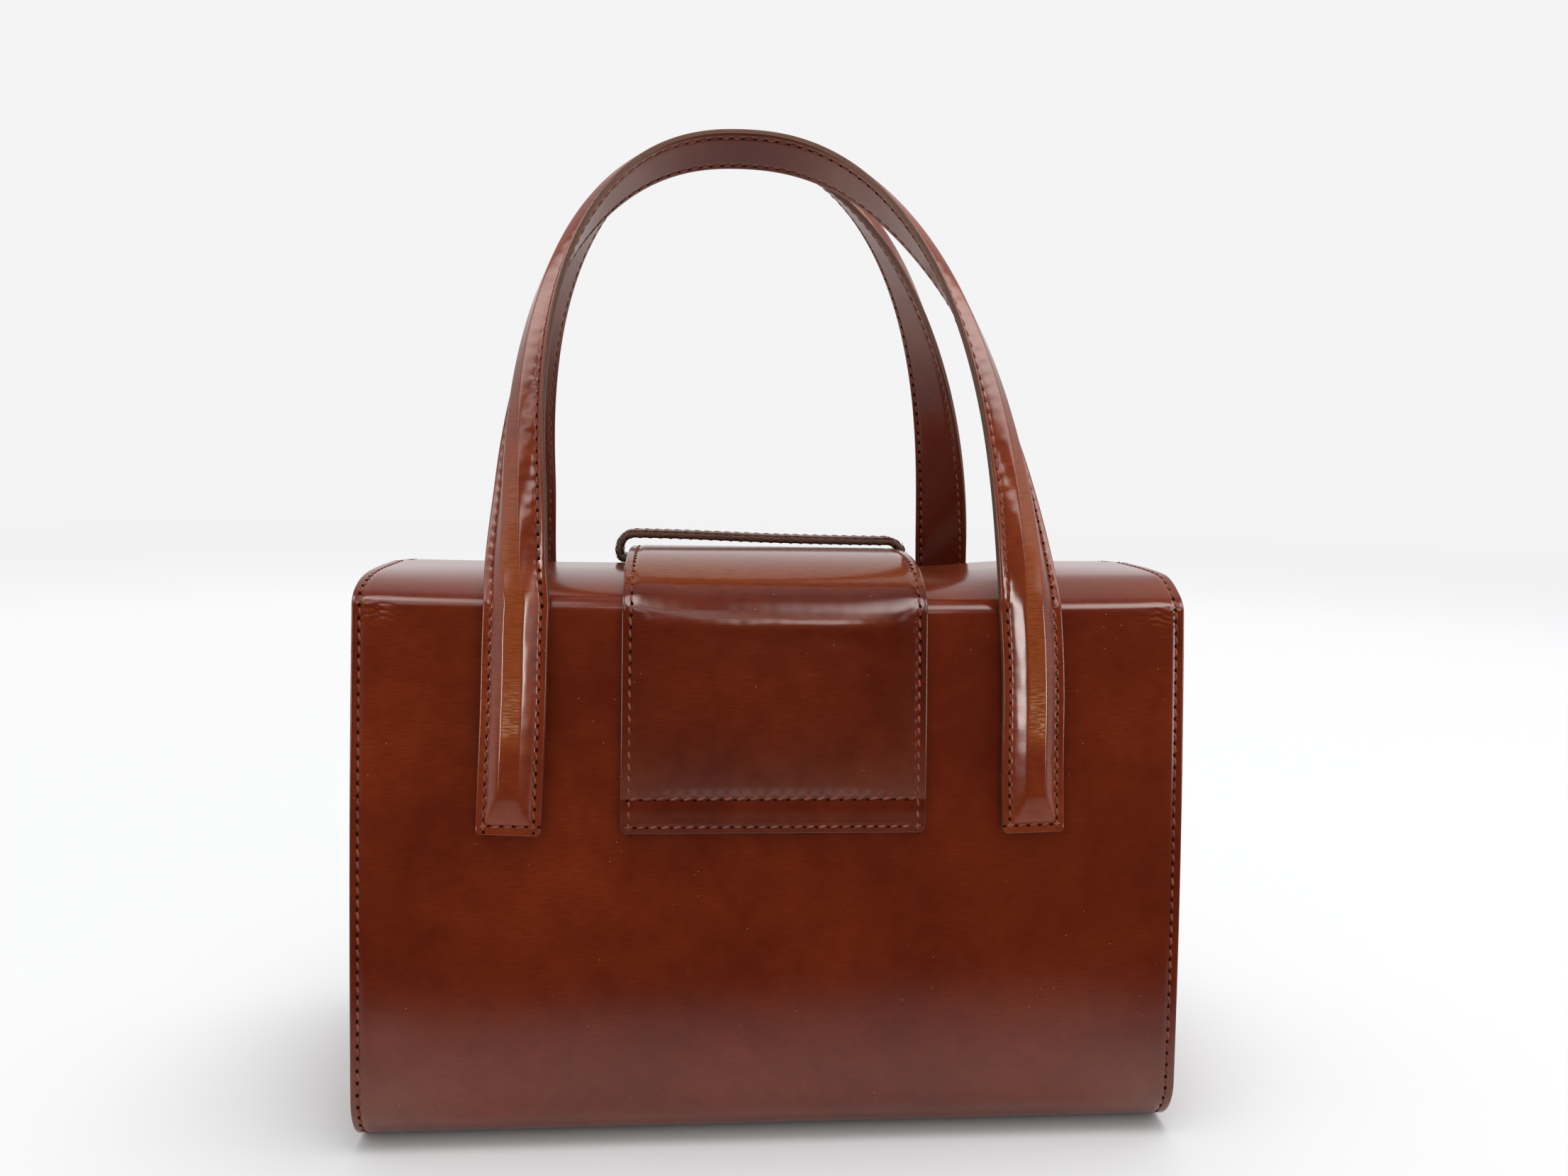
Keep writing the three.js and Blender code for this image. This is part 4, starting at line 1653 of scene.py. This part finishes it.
@dataclass
class KeeperLoop:
    """Flat ring of strap that the tab runs through, its edges drawn in by their stitches."""

    finishes: Finishes
    half_width: float = 51.05
    shift: float = -2.0
    length: float = 12.0
    back_y: float = 14.5
    low_z: float = 179.08
    high_z: float = 187.6
    low_radius: float = 2.4
    top_radius: float = 5.3
    half_thickness: float = 1.45
    hem: float = 0.9
    stitch_inset: float = 1.5
    groove_depth: float = 0.2
    droop: float = 0.35
    tilt: float = 1.5
    skin_shift: float = 1200.0

    def _path(self) -> tuple[Array, Array]:
        """Middle line of the ring, closed on itself.

        Returns:
            Points as (x, z), and their outward directions.
        """
        points = []
        for right, upper, start in ((1, 1, 90), (1, -1, 0), (-1, -1, -90), (-1, 1, -180)):
            radius = self.top_radius if upper > 0 else self.low_radius
            x = right * (self.half_width - radius)
            z = self.high_z - radius if upper > 0 else self.low_z + radius
            for angle in np.radians(np.linspace(start, start - 90, 12)):
                points.append((x + radius * math.cos(angle), z + radius * math.sin(angle)))
        ring = np.array(points + points[:1])
        along = run_length(ring)
        line = at_stations(np.linspace(0, along[-1], 421)[:-1], along, ring)
        step = unit(np.roll(line, -1, axis=0) - np.roll(line, 1, axis=0))
        normal = np.stack([-step[:, 1], step[:, 0]], axis=1)
        upper = ease((line[:, 1] - self.low_z - 1.0) / (self.high_z - self.low_z - 2.0))
        fall = self.droop * bell(line[:, 0], 30.0) + self.tilt * (ease((line[:, 0] + 45.0) / 90.0) - 0.2)
        line[:, 1] -= fall * upper
        line[:, 0] += self.shift
        return line, normal

    def build(self) -> None:
        """Make the keeper."""
        line, normal = self._path()
        along = run_length(np.vstack([line, line[:1]]))[:-1]
        half = self.length / 2
        across = mirrored_stops([0.0, 0.12, 0.35, 0.7, 1.1, 1.5, 1.9, 2.4, 3.2], 1.8, half)
        count = len(across)
        rings = np.zeros((len(line), 2 * count, 3))
        skin = np.zeros((len(line), 2 * count, 2))
        layer = np.zeros((len(line), 2 * count))
        from_edge = half - np.abs(across)
        edge_share = bell(np.clip(from_edge - 1.2, 0, None), 1.2)
        tucked = np.clip(self.hem - from_edge, 0, self.hem) / self.hem
        hemmed = np.sqrt(np.clip(1 - tucked**2, 0.04, 1))
        groove = self.groove_depth * bell(from_edge - self.stitch_inset, 0.7)
        for row, station in enumerate(along):
            pinch = 0.5 - 0.5 * math.cos(2 * math.pi * station / Seam.KEEPER.value)
            thick = self.half_thickness * (1 - edge_share * (0.34 - 0.42 * pinch)) * hemmed
            for side, part in ((1, slice(0, count)), (-1, slice(count, 2 * count))):
                lift = side * (thick - groove)[::side]
                rings[row, part, 0] = line[row, 0] + normal[row, 0] * lift
                rings[row, part, 1] = across[::side] + self.back_y + half
                rings[row, part, 2] = line[row, 1] + normal[row, 1] * lift
                skin[row, part, 0] = across[::side] + self.skin_shift + side * 30
                skin[row, part, 1] = station
                layer[row, part] = 0.5 + 0.5 * side
        numbers = np.zeros(rings.shape[:2], dtype=int)
        numbers[:, [0, count - 2, count - 1, count, 2 * count - 2, 2 * count - 1]] = 1
        loft = Loft(rings, skin, numbers, EndCap.JOINED, 0, {LAYER: layer})
        piece = loft.make("bag_keeper_loop", [self.finishes.keeper, self.finishes.edge])
        hand_over(piece, "keeper_leather", "keeper_loop")

    def rows(self) -> list[StitchRow]:
        """Rows along both edges, on the outside of the loop.

        Returns:
            One row for each edge.
        """
        line, normal = self._path()
        out = line + normal * (self.half_thickness - 0.22)
        facing = np.stack([normal[:, 0], np.zeros(len(line)), normal[:, 1]], axis=1)
        half = self.length / 2
        rows = []
        for side in (-1, 1):
            y = np.full(len(line), self.back_y + half + side * (half - self.stitch_inset))
            rows.append(StitchRow(np.stack([out[:, 0], y, out[:, 1]], axis=1), facing))
        return rows


@dataclass(frozen=True)
class Arch:
    """How the handle on one wall leans and arches.

    side is the wall's side in Y. The shifts move the arch in X, at the crease and at the
    top. height is from the crease up, and a higher fullness makes squarer shoulders.
    skin_shift is where the strap was cut from the flat leather.
    """

    node: str
    side: int
    crease_shift: float
    apex_shift: float
    height: float
    fullness: float
    skin_shift: float


class Wall(Enum):
    """Wall that a handle is sewn to, with the handle's arch."""

    BACK = Arch("handle_back", -1, 0.0, -12.0, 143.0, 2.31, 1600.0)
    FRONT = Arch("handle_front", 1, -8.5, -14.8, 147.0, 2.25, 2000.0)


STRAP_END_STOPS = [*EDGE_STOPS, 5.6, 6.3, 7.0, 8.0, 9.0, 10.0, 11.0, 11.6, 12.2, 13.0, 14.5]
STRAP_SIDE_STOPS = [
    *(0.0, 0.1, 0.28, 0.52, 0.82, 1.2, 1.6, 2.0, 2.3, 2.6, 2.95, 3.25),
    *(3.55, 3.9, 4.5, 5.3, 6.1, 6.5, 6.8, 7.05, 7.3, 7.6, 8.1, 8.9),
]


@dataclass
class Handle:
    """Strap handle with a raised core, flat on the wall at its feet and turned upwards over its arch."""

    finishes: Finishes
    outline: Outline
    wall: Wall
    width: float = 19.6
    thickness: float = 2.7
    arch_thickness: float = 2.1
    corner_radius: float = 1.6
    core_base: float = 14.2
    core_top: float = 5.5
    core_height: float = 3.4
    core_fullness: float = 1.1
    core_shoulder: float = 0.03
    core_start: float = 3.4
    core_slope: float = 9.2
    core_blend: float = 0.12
    core_ripple: float = 0.14
    foot_z: float = 100.0
    foot_half_span: float = 80.5
    arch_half_span: float = 78.0
    apex_half_depth: float = 11.0
    gap: float = 0.5
    lift: float = 1.0
    twist_start_z: float = 170.5
    twist_exponent: float = 0.75
    foot_twist: float = math.radians(90)
    apex_twist: float = math.radians(-6)
    stitch_inset: float = 2.3
    stitch_proud: float = 0.05
    end_row: float = 2.7
    groove_depth: float = 0.22
    under_groove: float = 0.2
    pucker: float = 0.09
    edge_rounding: float = 0.5
    inner_rounding: float = 0.4
    painted_sheen: float = 0.4
    tuck: float = 0.14
    tuck_pitch: float = 4.6
    lining_shift: float = 100.0

    @staticmethod
    def _bow(end: float | Array, z: Array) -> Array:
        """How far a leg stands out sideways from its straight run, near the wall.

        Args:
            end: Negative on the left leg.
            z: Heights.

        Returns:
            The moves in X.
        """
        left = -1.7 - 0.5 * bell(z - 165.0, 18.0)
        right = 0.2 + 1.0 * bell(z - 150.0, 24.0)
        return np.where(np.asarray(end) < 0, left, right) * ease((208.0 - z) / 36.0)

    def _line(self) -> Array:
        """Middle of the strap's underside from the left foot to the right foot.

        Returns:
            Points at even steps, drawn on the back wall.
        """
        lean = self.wall.value
        line = self.outline
        t = np.linspace(0, 1, 90, endpoint=False)
        z = lerp(self.foot_z, line.crease_z, t)
        y = -line.half_depth(z) - self.gap - self.lift * t
        legs = []
        for end in (-1, 1):
            x = end * lerp(self.foot_half_span, self.arch_half_span, t) + lean.crease_shift * t
            legs.append(np.stack([x + self._bow(end, z), y, z], axis=1))
        angle = np.linspace(0, math.pi, 700)
        across = -np.cos(angle)
        spread = np.sign(across) * np.abs(across) ** (2 / lean.fullness)
        height = np.abs(np.sin(angle)) ** (2 / lean.fullness)
        spring = line.crease_half_depth + self.gap + self.lift
        arch_x = self.arch_half_span * spread + lerp(lean.crease_shift, lean.apex_shift, height)
        arch_y = -lerp(spring, self.apex_half_depth, height)
        arch_z = line.crease_z + lean.height * height
        arch = np.stack([arch_x + self._bow(spread, arch_z), arch_y, arch_z], axis=1)
        return self._softened(np.concatenate([legs[0], arch, legs[1][::-1]]))

    @staticmethod
    def _softened(points: Array, reach: float = 3.0, step: float = 0.5) -> Array:
        """Ease the kinks of a line, with its ends kept.

        Args:
            points: The line.
            reach: Distance over which a kink is eased.
            step: Distance between the new points.

        Returns:
            The eased line at even steps.
        """
        along = run_length(points)
        line = at_stations(np.linspace(0, along[-1], int(along[-1] / step)), along, points)
        wide = int(3 * reach / step)
        weights = bell(np.arange(-wide, wide + 1) * step, reach)
        weights = weights / weights.sum()
        head = 2 * line[0] - line[wide:0:-1]
        tail = 2 * line[-1] - line[-2 : -wide - 2 : -1]
        padded = np.concatenate([head, line, tail])
        return np.stack([np.convolve(column, weights, mode="valid") for column in padded.T], axis=1)

    def _frames(self, station: Array) -> tuple[Array, Array, Array]:
        """How the strap lies at places along it.

        Args:
            station: Distances from the left foot.

        Returns:
            The middle point, the direction across and the direction out at each place.
        """
        lean = self.wall.value
        points = self._line()
        along = run_length(points)
        direction = tangents(points)
        spring = self.outline.crease_half_depth + self.gap + self.lift
        plane = unit(np.array([0.0, -lean.height, spring - self.apex_half_depth]))
        aside = unit(plane - direction * (direction @ plane)[:, None])
        outward = np.cross(aside, direction)
        top_z = self.outline.crease_z + lean.height
        rise = (points[:, 2] - self.twist_start_z) / (top_z - self.twist_start_z)
        twist = lerp(self.foot_twist, self.apex_twist, np.clip(rise, 0, 1) ** self.twist_exponent)[:, None]
        face = outward * np.cos(twist) + aside * np.sin(twist)
        across = np.cross(face, direction)
        mirror = np.array([1.0, -lean.side, 1.0])
        found = [at_stations(station, along, values) * mirror for values in (points, across, face)]
        return found[0], unit(found[1]), unit(found[2])

    def _length(self) -> float:
        """Length along the strap."""
        return float(run_length(self._line())[-1])

    def _core(self, u: Array) -> Array:
        """Height of the full core across the strap, with eased corners.

        Args:
            u: Places across the strap.

        Returns:
            The height over the strap's face.
        """
        share = (self.core_base / 2 - np.abs(u)) / ((self.core_base - self.core_top) / 2)
        foot = np.clip(1 - share, 0, 1) ** self.core_fullness
        flank = self.core_height * (1 - foot + 1.2 * np.clip(share - 1, 0, None))
        over = flank - self.core_height
        return np.clip(self.core_height + 0.5 * (over - np.sqrt(over**2 + self.core_shoulder)), 0, None)

    def _top(self, u: Array, from_end: Array) -> Array:
        """Height of the strap's outer face above its underside.

        Args:
            u: Places across the strap.
            from_end: Distances from the nearer foot's end.

        Returns:
            The heights.
        """
        from_side = self.width / 2 - np.abs(u)
        slope = np.clip((from_end - self.core_start) / self.core_slope, 0, None) * self.core_height
        core = self._core(u)
        low = 0.5 * (core + slope - np.sqrt((core - slope) ** 2 + self.core_blend))
        core = np.clip(low, 0, None) * ease((from_end - self.core_start + 1.0) / 2.0)
        flank = bell(np.abs(u) - 0.25 * (self.core_base + self.core_top), 2.0)
        uneven = self.core_ripple * flank * (ripples(26.0 * u, 9.0 * from_end) - 0.5)
        core = core + uneven * ease((from_end - 14.0) / 8.0)
        phase = 2 * math.pi * from_end / self.tuck_pitch + 1.4 * np.sin(0.13 * from_end)
        beside = bell(from_side - self.stitch_inset - 1.8, 1.5) * ease((from_end - 78.0) / 30.0)
        beside = beside * lerp(0.3, 1.0, ease((215.0 - from_end) / 50.0))
        core = core + self.tuck * beside * np.cos(phase) * ripples(31.0 * u, 13.0 * from_end)
        rounding = rounded(np.minimum(from_side, from_end), self.edge_rounding)
        down = bell(from_side - self.stitch_inset, 0.9)
        grooves = np.maximum(down, bell(from_end - self.end_row, 0.8))
        plump = down * np.cos(2 * math.pi * from_end / Seam.STRAP.value)
        thick = lerp(self.thickness, self.arch_thickness, ease((from_end - 70.0) / 60.0))
        return thick + core + rounding - self.groove_depth * grooves + self.pucker * plump

    def _wear(self, u: Array, station: float, length: float) -> Array:
        """Where the core's top is rubbed bare, most of all at the middle of each foot.

        Args:
            u: Places across the strap.
            station: Distance from the left foot's end.
            length: Length along the strap.

        Returns:
            The wear, from 0 to 1.
        """
        top = ease((3.4 - np.abs(u)) / 1.2)
        worn = 0.0
        for from_foot in (station, length - station):
            worn += 0.6 * ease((from_foot - 24.0) / 10.0) * ease((150.0 - from_foot) / 60.0)
            rubbed = 0.3 * bell(from_foot - 32.0, 4.0) * lerp(0.6, 1.0, ease(u / 2.0))
            worn += rubbed + 0.14 * bell(from_foot - 41.0, 6.0)
        return top * np.clip(worn, 0, 1)

    def build(self) -> None:
        """Make the handle."""
        lean = self.wall.value
        length = self._length()
        half = self.width / 2
        station = mirrored_stops(STRAP_END_STOPS, 0.9, length / 2) + length / 2
        centre, across, face = self._frames(station)
        u = mirrored_stops(STRAP_SIDE_STOPS, 1.0, half)
        from_side = half - np.abs(u)
        dip = self.under_groove * bell(from_side - self.stitch_inset, 0.75)
        count = len(u)
        sheet = Loft.sheet(len(station), count, RIM_AND_PAINTED_SHADE, WEAR_AND_PAINTED_LIGHT, LAYER, PAINTED_SHEEN)
        for row, place in enumerate(station):
            from_end = min(place, length - place)
            beside = self.corner_radius - min(from_end, self.corner_radius)
            cut = self.corner_radius - math.sqrt(self.corner_radius**2 - beside**2)
            wide = (u * ((half - cut) / half))[:, None]
            out = self._top(u, np.full(count, from_end))
            from_edge = np.minimum(from_side, from_end)
            low = np.maximum(np.clip(self.inner_rounding - from_edge, 0.0, self.inner_rounding), dip)
            sheet.rings[row, :count] = centre[row] + across[row] * wide + face[row] * out[:, None]
            under = centre[row] + across[row] * wide + face[row] * low[:, None]
            sheet.rings[row, count:] = under[::-1]
            sheet.skin[row, :count, 0] = u + lean.skin_shift
            sheet.skin[row, count:, 0] = u[::-1] + lean.skin_shift + self.lining_shift
            sheet.skin[row, :, 1] = place
            sheet.marks[RIM_AND_PAINTED_SHADE][row, :count] = bell(from_edge, 1.2)
            sheet.marks[WEAR_AND_PAINTED_LIGHT][row, :count] = self._wear(u, place, length)
            sheet.marks[LAYER][row, :count] = 1.0
            z = centre[row, 2]
            # Painted sheen: pale haze on the lining high on the arch stands in for glare.
            painted_sheen = self.painted_sheen * ease((z - 238.0) / 36.0) * ease((316.0 - z) / 14.0)
            sheet.marks[PAINTED_SHEEN][row, count:] = painted_sheen
        finishes = [self.finishes.strap, self.finishes.edge, self.finishes.lining]
        piece = sheet.make("bag_" + lean.node, finishes)
        hand_over(piece, "handle_leather", lean.node)

    def rows(self) -> list[StitchRow]:
        """Rows along both edges on both faces, and across both feet.

        Returns:
            The six rows.
        """
        length = self._length()
        inner = self.width / 2 - self.stitch_inset
        ends = (self.end_row, length - self.end_row)
        station = np.linspace(*ends, 700)
        centre, across, face = self._frames(station)
        from_end = np.minimum(station, length - station)
        rows = []
        for side in (-1, 1):
            out = self._top(np.full(len(station), side * inner), from_end)[:, None] + self.stitch_proud
            rows.append(StitchRow(centre + across * side * inner + face * out, face))
            rows.append(StitchRow(centre + across * side * inner + face * 0.14, -face))
        u = np.linspace(-inner, inner, 24)
        out = self._top(u, np.full(24, self.end_row))[:, None] + self.stitch_proud
        for end in ends:
            middle, aside, out_way = self._frames(np.full(24, end))
            rows.append(StitchRow(middle + aside * u[:, None] + out_way * out, out_way))
        return rows


# Studio


@dataclass(frozen=True)
class Card:
    """Card that shows only in reflections, in metres.

    It stands on a line from start to end, each an (x, y), and reaches from low to high
    while it leans back by lean. glow is the strength of its light, which fades towards its
    edges, or 0 for a dark card. fade gives the places in Y between which it grows clear.
    """

    name: str
    start: Span
    end: Span
    low: float
    high: float
    lean: float = 0.0
    glow: float = 0.0
    fade: Span | None = None
    cells: int = 12

    def _mesh(self) -> Mesh:
        """Build the card's grid, with its glow at each point.

        Returns:
            The new mesh.
        """
        steps = np.linspace(0, 1, self.cells + 1)
        u, v = (grid.ravel()[:, None] for grid in np.meshgrid(steps, steps))
        a, b = np.array([(*self.start, self.low), (*self.end, self.low)])
        rise = np.array([0.0, self.lean, self.high - self.low])
        points = lerp(lerp(a, b, u), lerp(a + rise, b + rise, u), v)
        count = len(steps)
        faces = []
        for row in range(count - 1):
            for first in range(row * count, row * count + count - 1):
                faces.append((first, first + 1, first + count + 1, first + count))
        mesh = bpy.data.meshes.new(self.name)
        mesh.from_pydata(points.tolist(), [], faces)
        strength = self.glow * (np.sin(math.pi * u) * np.sin(math.pi * v)).ravel() ** 0.8
        mesh.attributes.new(GLOW, "FLOAT", "POINT").data.foreach_set("value", strength.astype(np.float32))
        return mesh

    def build(self) -> None:
        """Stand the card."""
        bench = Bench(self.name)
        bench.put("Base Color", (0.004, 0.004, 0.004, 1.0))
        bench.put("Roughness", 1.0)
        bench.put("Specular IOR Level", 0.0)
        bench.put("Emission Color", (1.0, 0.97, 0.94, 1.0))
        bench.put("Emission Strength", bench.mark(GLOW))
        if self.fade:
            bench.put("Alpha", bench.span(bench.place("Y"), *self.fade, (1.0, 0.0)))
        mesh = self._mesh()
        mesh.materials.append(bench.material)
        card = link(self.name, mesh)
        card.visible_camera = False
        card.visible_diffuse = False
        card.visible_shadow = False


CARDS = (
    Card("card_upright", (-2.2, -1.3), (2.2, -1.3), -0.1, 1.5),
    Card("card_floor", (-1.6, -1.3), (1.6, -1.3), 0.001, 0.001, 1.23, fade=(-0.225, -0.105)),
    Card("card_ceiling", (-2.2, -1.3), (2.2, -1.3), 1.5, 1.5, 2.5, fade=(-0.8, 0.5)),
    Card("strip_top_left", (-1.2, -1.0), (-0.1, -1.0), 1.0, 1.4, 0.6, 9.0),
    Card("strip_top_right", (0.02, -1.0), (1.3, -1.0), 1.0, 1.4, 0.6, 9.0),
    Card("strip_middle", (0.0, -1.1), (0.3, -1.1), 0.56, 1.05, 0.05, 7.0),
    Card("strip_high", (-0.75, -1.2), (0.1, -1.2), 0.95, 1.42, 0.1, 4.0),
    Card("strip_left", (-1.26, -0.66), (-1.02, -0.96), -0.35, 0.5, glow=19.0),
    Card("strip_right", (1.26, -0.66), (1.02, -0.96), -0.35, 0.5, glow=18.0),
    Card("strip_shoulder_left", (-1.12, 0.3), (-0.9, -1.0), 0.62, 1.36, glow=6.5),
    Card("strip_shoulder_right", (1.12, 0.35), (0.72, -1.25), 0.62, 1.36, glow=7.5),
    Card("strip_leg_left", (-1.0, -1.22), (-0.3, -1.22), 0.7, 1.12, glow=4.0),
)


@dataclass(frozen=True)
class Studio:
    """Pale floor, soft light and the camera at the photograph's viewing angle."""

    image_width: int = 2212
    focal_pixels: float = 1669.0
    sensor: float = 36.0
    place: Place = (-27.7, -409.47, 215.28)
    yaw: float = 0.0795
    pitch: float = 0.108
    roll: float = 0.0189
    floor_z: float = -0.0003
    floor_radii: tuple[float, ...] = (0.5, 1.5, 6.0)
    floor_sides: int = 96
    sky: Colour = (0.93, 0.93, 0.94)
    sky_strength: float = 0.97

    def floor(self) -> None:
        """Lay the round floor just under the bag."""
        count = self.floor_sides
        angle = np.linspace(0, 2 * math.pi, count, endpoint=False)
        points = [(0.0, 0.0, self.floor_z)]
        for radius in self.floor_radii:
            points += [(radius * math.cos(a), radius * math.sin(a), self.floor_z) for a in angle]
        faces = [(0, 1 + i, 1 + (i + 1) % count) for i in range(count)]
        for ring in range(len(self.floor_radii) - 1):
            low = 1 + ring * count
            for i in range(count):
                after = (i + 1) % count
                faces.append((low + i, low + count + i, low + count + after, low + after))
        mesh = bpy.data.meshes.new("studio_floor")
        mesh.from_pydata(points, [], faces)
        mesh.materials.append(PaleFloor("pale_floor").make())
        link("studio_floor", mesh)

    def cards(self) -> None:
        """Stand the dark cards before and over the bag, and the glowing strips before them."""
        for card in CARDS:
            card.build()

    def _lamp(self, name: str, place: Place, aim: Place, size: Span, power: float) -> None:
        """Add a soft rectangular lamp.

        Args:
            name: Its name.
            place: Where it hangs.
            aim: The point that it shines at.
            size: Its width and length.
            power: Its power in watts.
        """
        lamp = bpy.data.lights.new(name, "AREA")
        lamp.shape = "RECTANGLE"
        lamp.size, lamp.size_y = size
        lamp.energy = power
        body = bpy.data.objects.new(name, lamp)
        body.location = place
        body.rotation_euler = (Vector(aim) - Vector(place)).to_track_quat("-Z", "Y").to_euler()
        body.visible_glossy = False
        bpy.context.scene.collection.objects.link(body)

    def light(self) -> None:
        """Set the soft surround and the lamp."""
        world = bpy.data.worlds.new("soft_surround")
        world.use_nodes = True
        surround = world.node_tree.nodes["Background"]
        surround.inputs["Color"].default_value = (*self.sky, 1.0)
        surround.inputs["Strength"].default_value = self.sky_strength
        bpy.context.scene.world = world
        self._lamp("top_lamp", (0.1, -0.05, 1.3), (0.0, 0.0, 0.1), (0.9, 0.7), 10.0)
        bpy.context.scene.view_settings.view_transform = "Standard"

    def camera(self) -> None:
        """Place the camera."""
        turn = math.cos(self.pitch)
        ahead = Vector((math.sin(self.yaw) * turn, math.cos(self.yaw) * turn, -math.sin(self.pitch)))
        level = Vector((math.cos(self.yaw), -math.sin(self.yaw), 0.0))
        right = level * math.cos(self.roll) + level.cross(ahead) * math.sin(self.roll)
        up = right.cross(ahead)
        eye = bpy.data.cameras.new("camera")
        eye.sensor_fit = "HORIZONTAL"
        eye.sensor_width = self.sensor
        eye.lens = self.focal_pixels * self.sensor / self.image_width
        eye.clip_start = 0.01
        body = bpy.data.objects.new("camera", eye)
        turned = Matrix((right, up, -ahead)).transposed().to_4x4()
        body.matrix_world = Matrix.Translation(Vector(self.place) * MM) @ turned
        bpy.context.scene.collection.objects.link(body)
        bpy.context.scene.camera = body


def sew_all(
    finishes: Finishes,
    wrap: BodyWrap,
    gussets: list[Gusset],
    tab: ClosureTab,
    keeper: KeeperLoop,
    handles: list[Handle],
) -> None:
    """Sew every seam of the bag.

    Args:
        finishes: The materials.
        wrap: The body's wrap.
        gussets: Both end panels.
        tab: The closure tab.
        keeper: The keeper loop.
        handles: Both handles.
    """
    stitcher = Stitcher(finishes)
    hand_over(stitcher.sew("stitches_body_ends", wrap.rows(), Seam.END), "body_leather")
    rim_rows = [row for gusset in gussets for row in gusset.rows()]
    hand_over(stitcher.sew("stitches_gusset_rims", rim_rows, Seam.END), "gusset_leather")
    border = stitcher.sew("stitches_tab", tab.border_rows(), Seam.TAB_BORDER)
    band = stitcher.sew("stitches_tab_band", tab.band_rows(), Seam.TAB_BAND, 15.0)
    hand_over(joined("stitches_tab", [border, band]), "tab_leather")
    hand_over(stitcher.sew("stitches_keeper", keeper.rows(), Seam.KEEPER), "keeper_leather")
    for handle in handles:
        name = "stitches_" + handle.wall.value.node
        hand_over(stitcher.sew(name, handle.rows(), Seam.STRAP), "handle_leather")


def main() -> None:
    """Build the bag, sew it and set the studio round it."""
    logging.basicConfig(level=logging.INFO, format="%(name)s %(message)s")
    finishes = Finishes()
    outline = Outline()
    studio = Studio()
    studio.camera()
    wrap = BodyWrap(finishes, outline)
    gussets = [Gusset(finishes, outline, side) for side in (-1, 1)]
    tab = ClosureTab(finishes, outline)
    keeper = KeeperLoop(finishes)
    handles = [Handle(finishes, outline, wall) for wall in Wall]
    for piece in (wrap, *gussets, tab, keeper, *handles):
        piece.build()
    sew_all(finishes, wrap, gussets, tab, keeper, handles)
    studio.floor()
    studio.cards()
    studio.light()


if __name__ == "__main__":
    main()
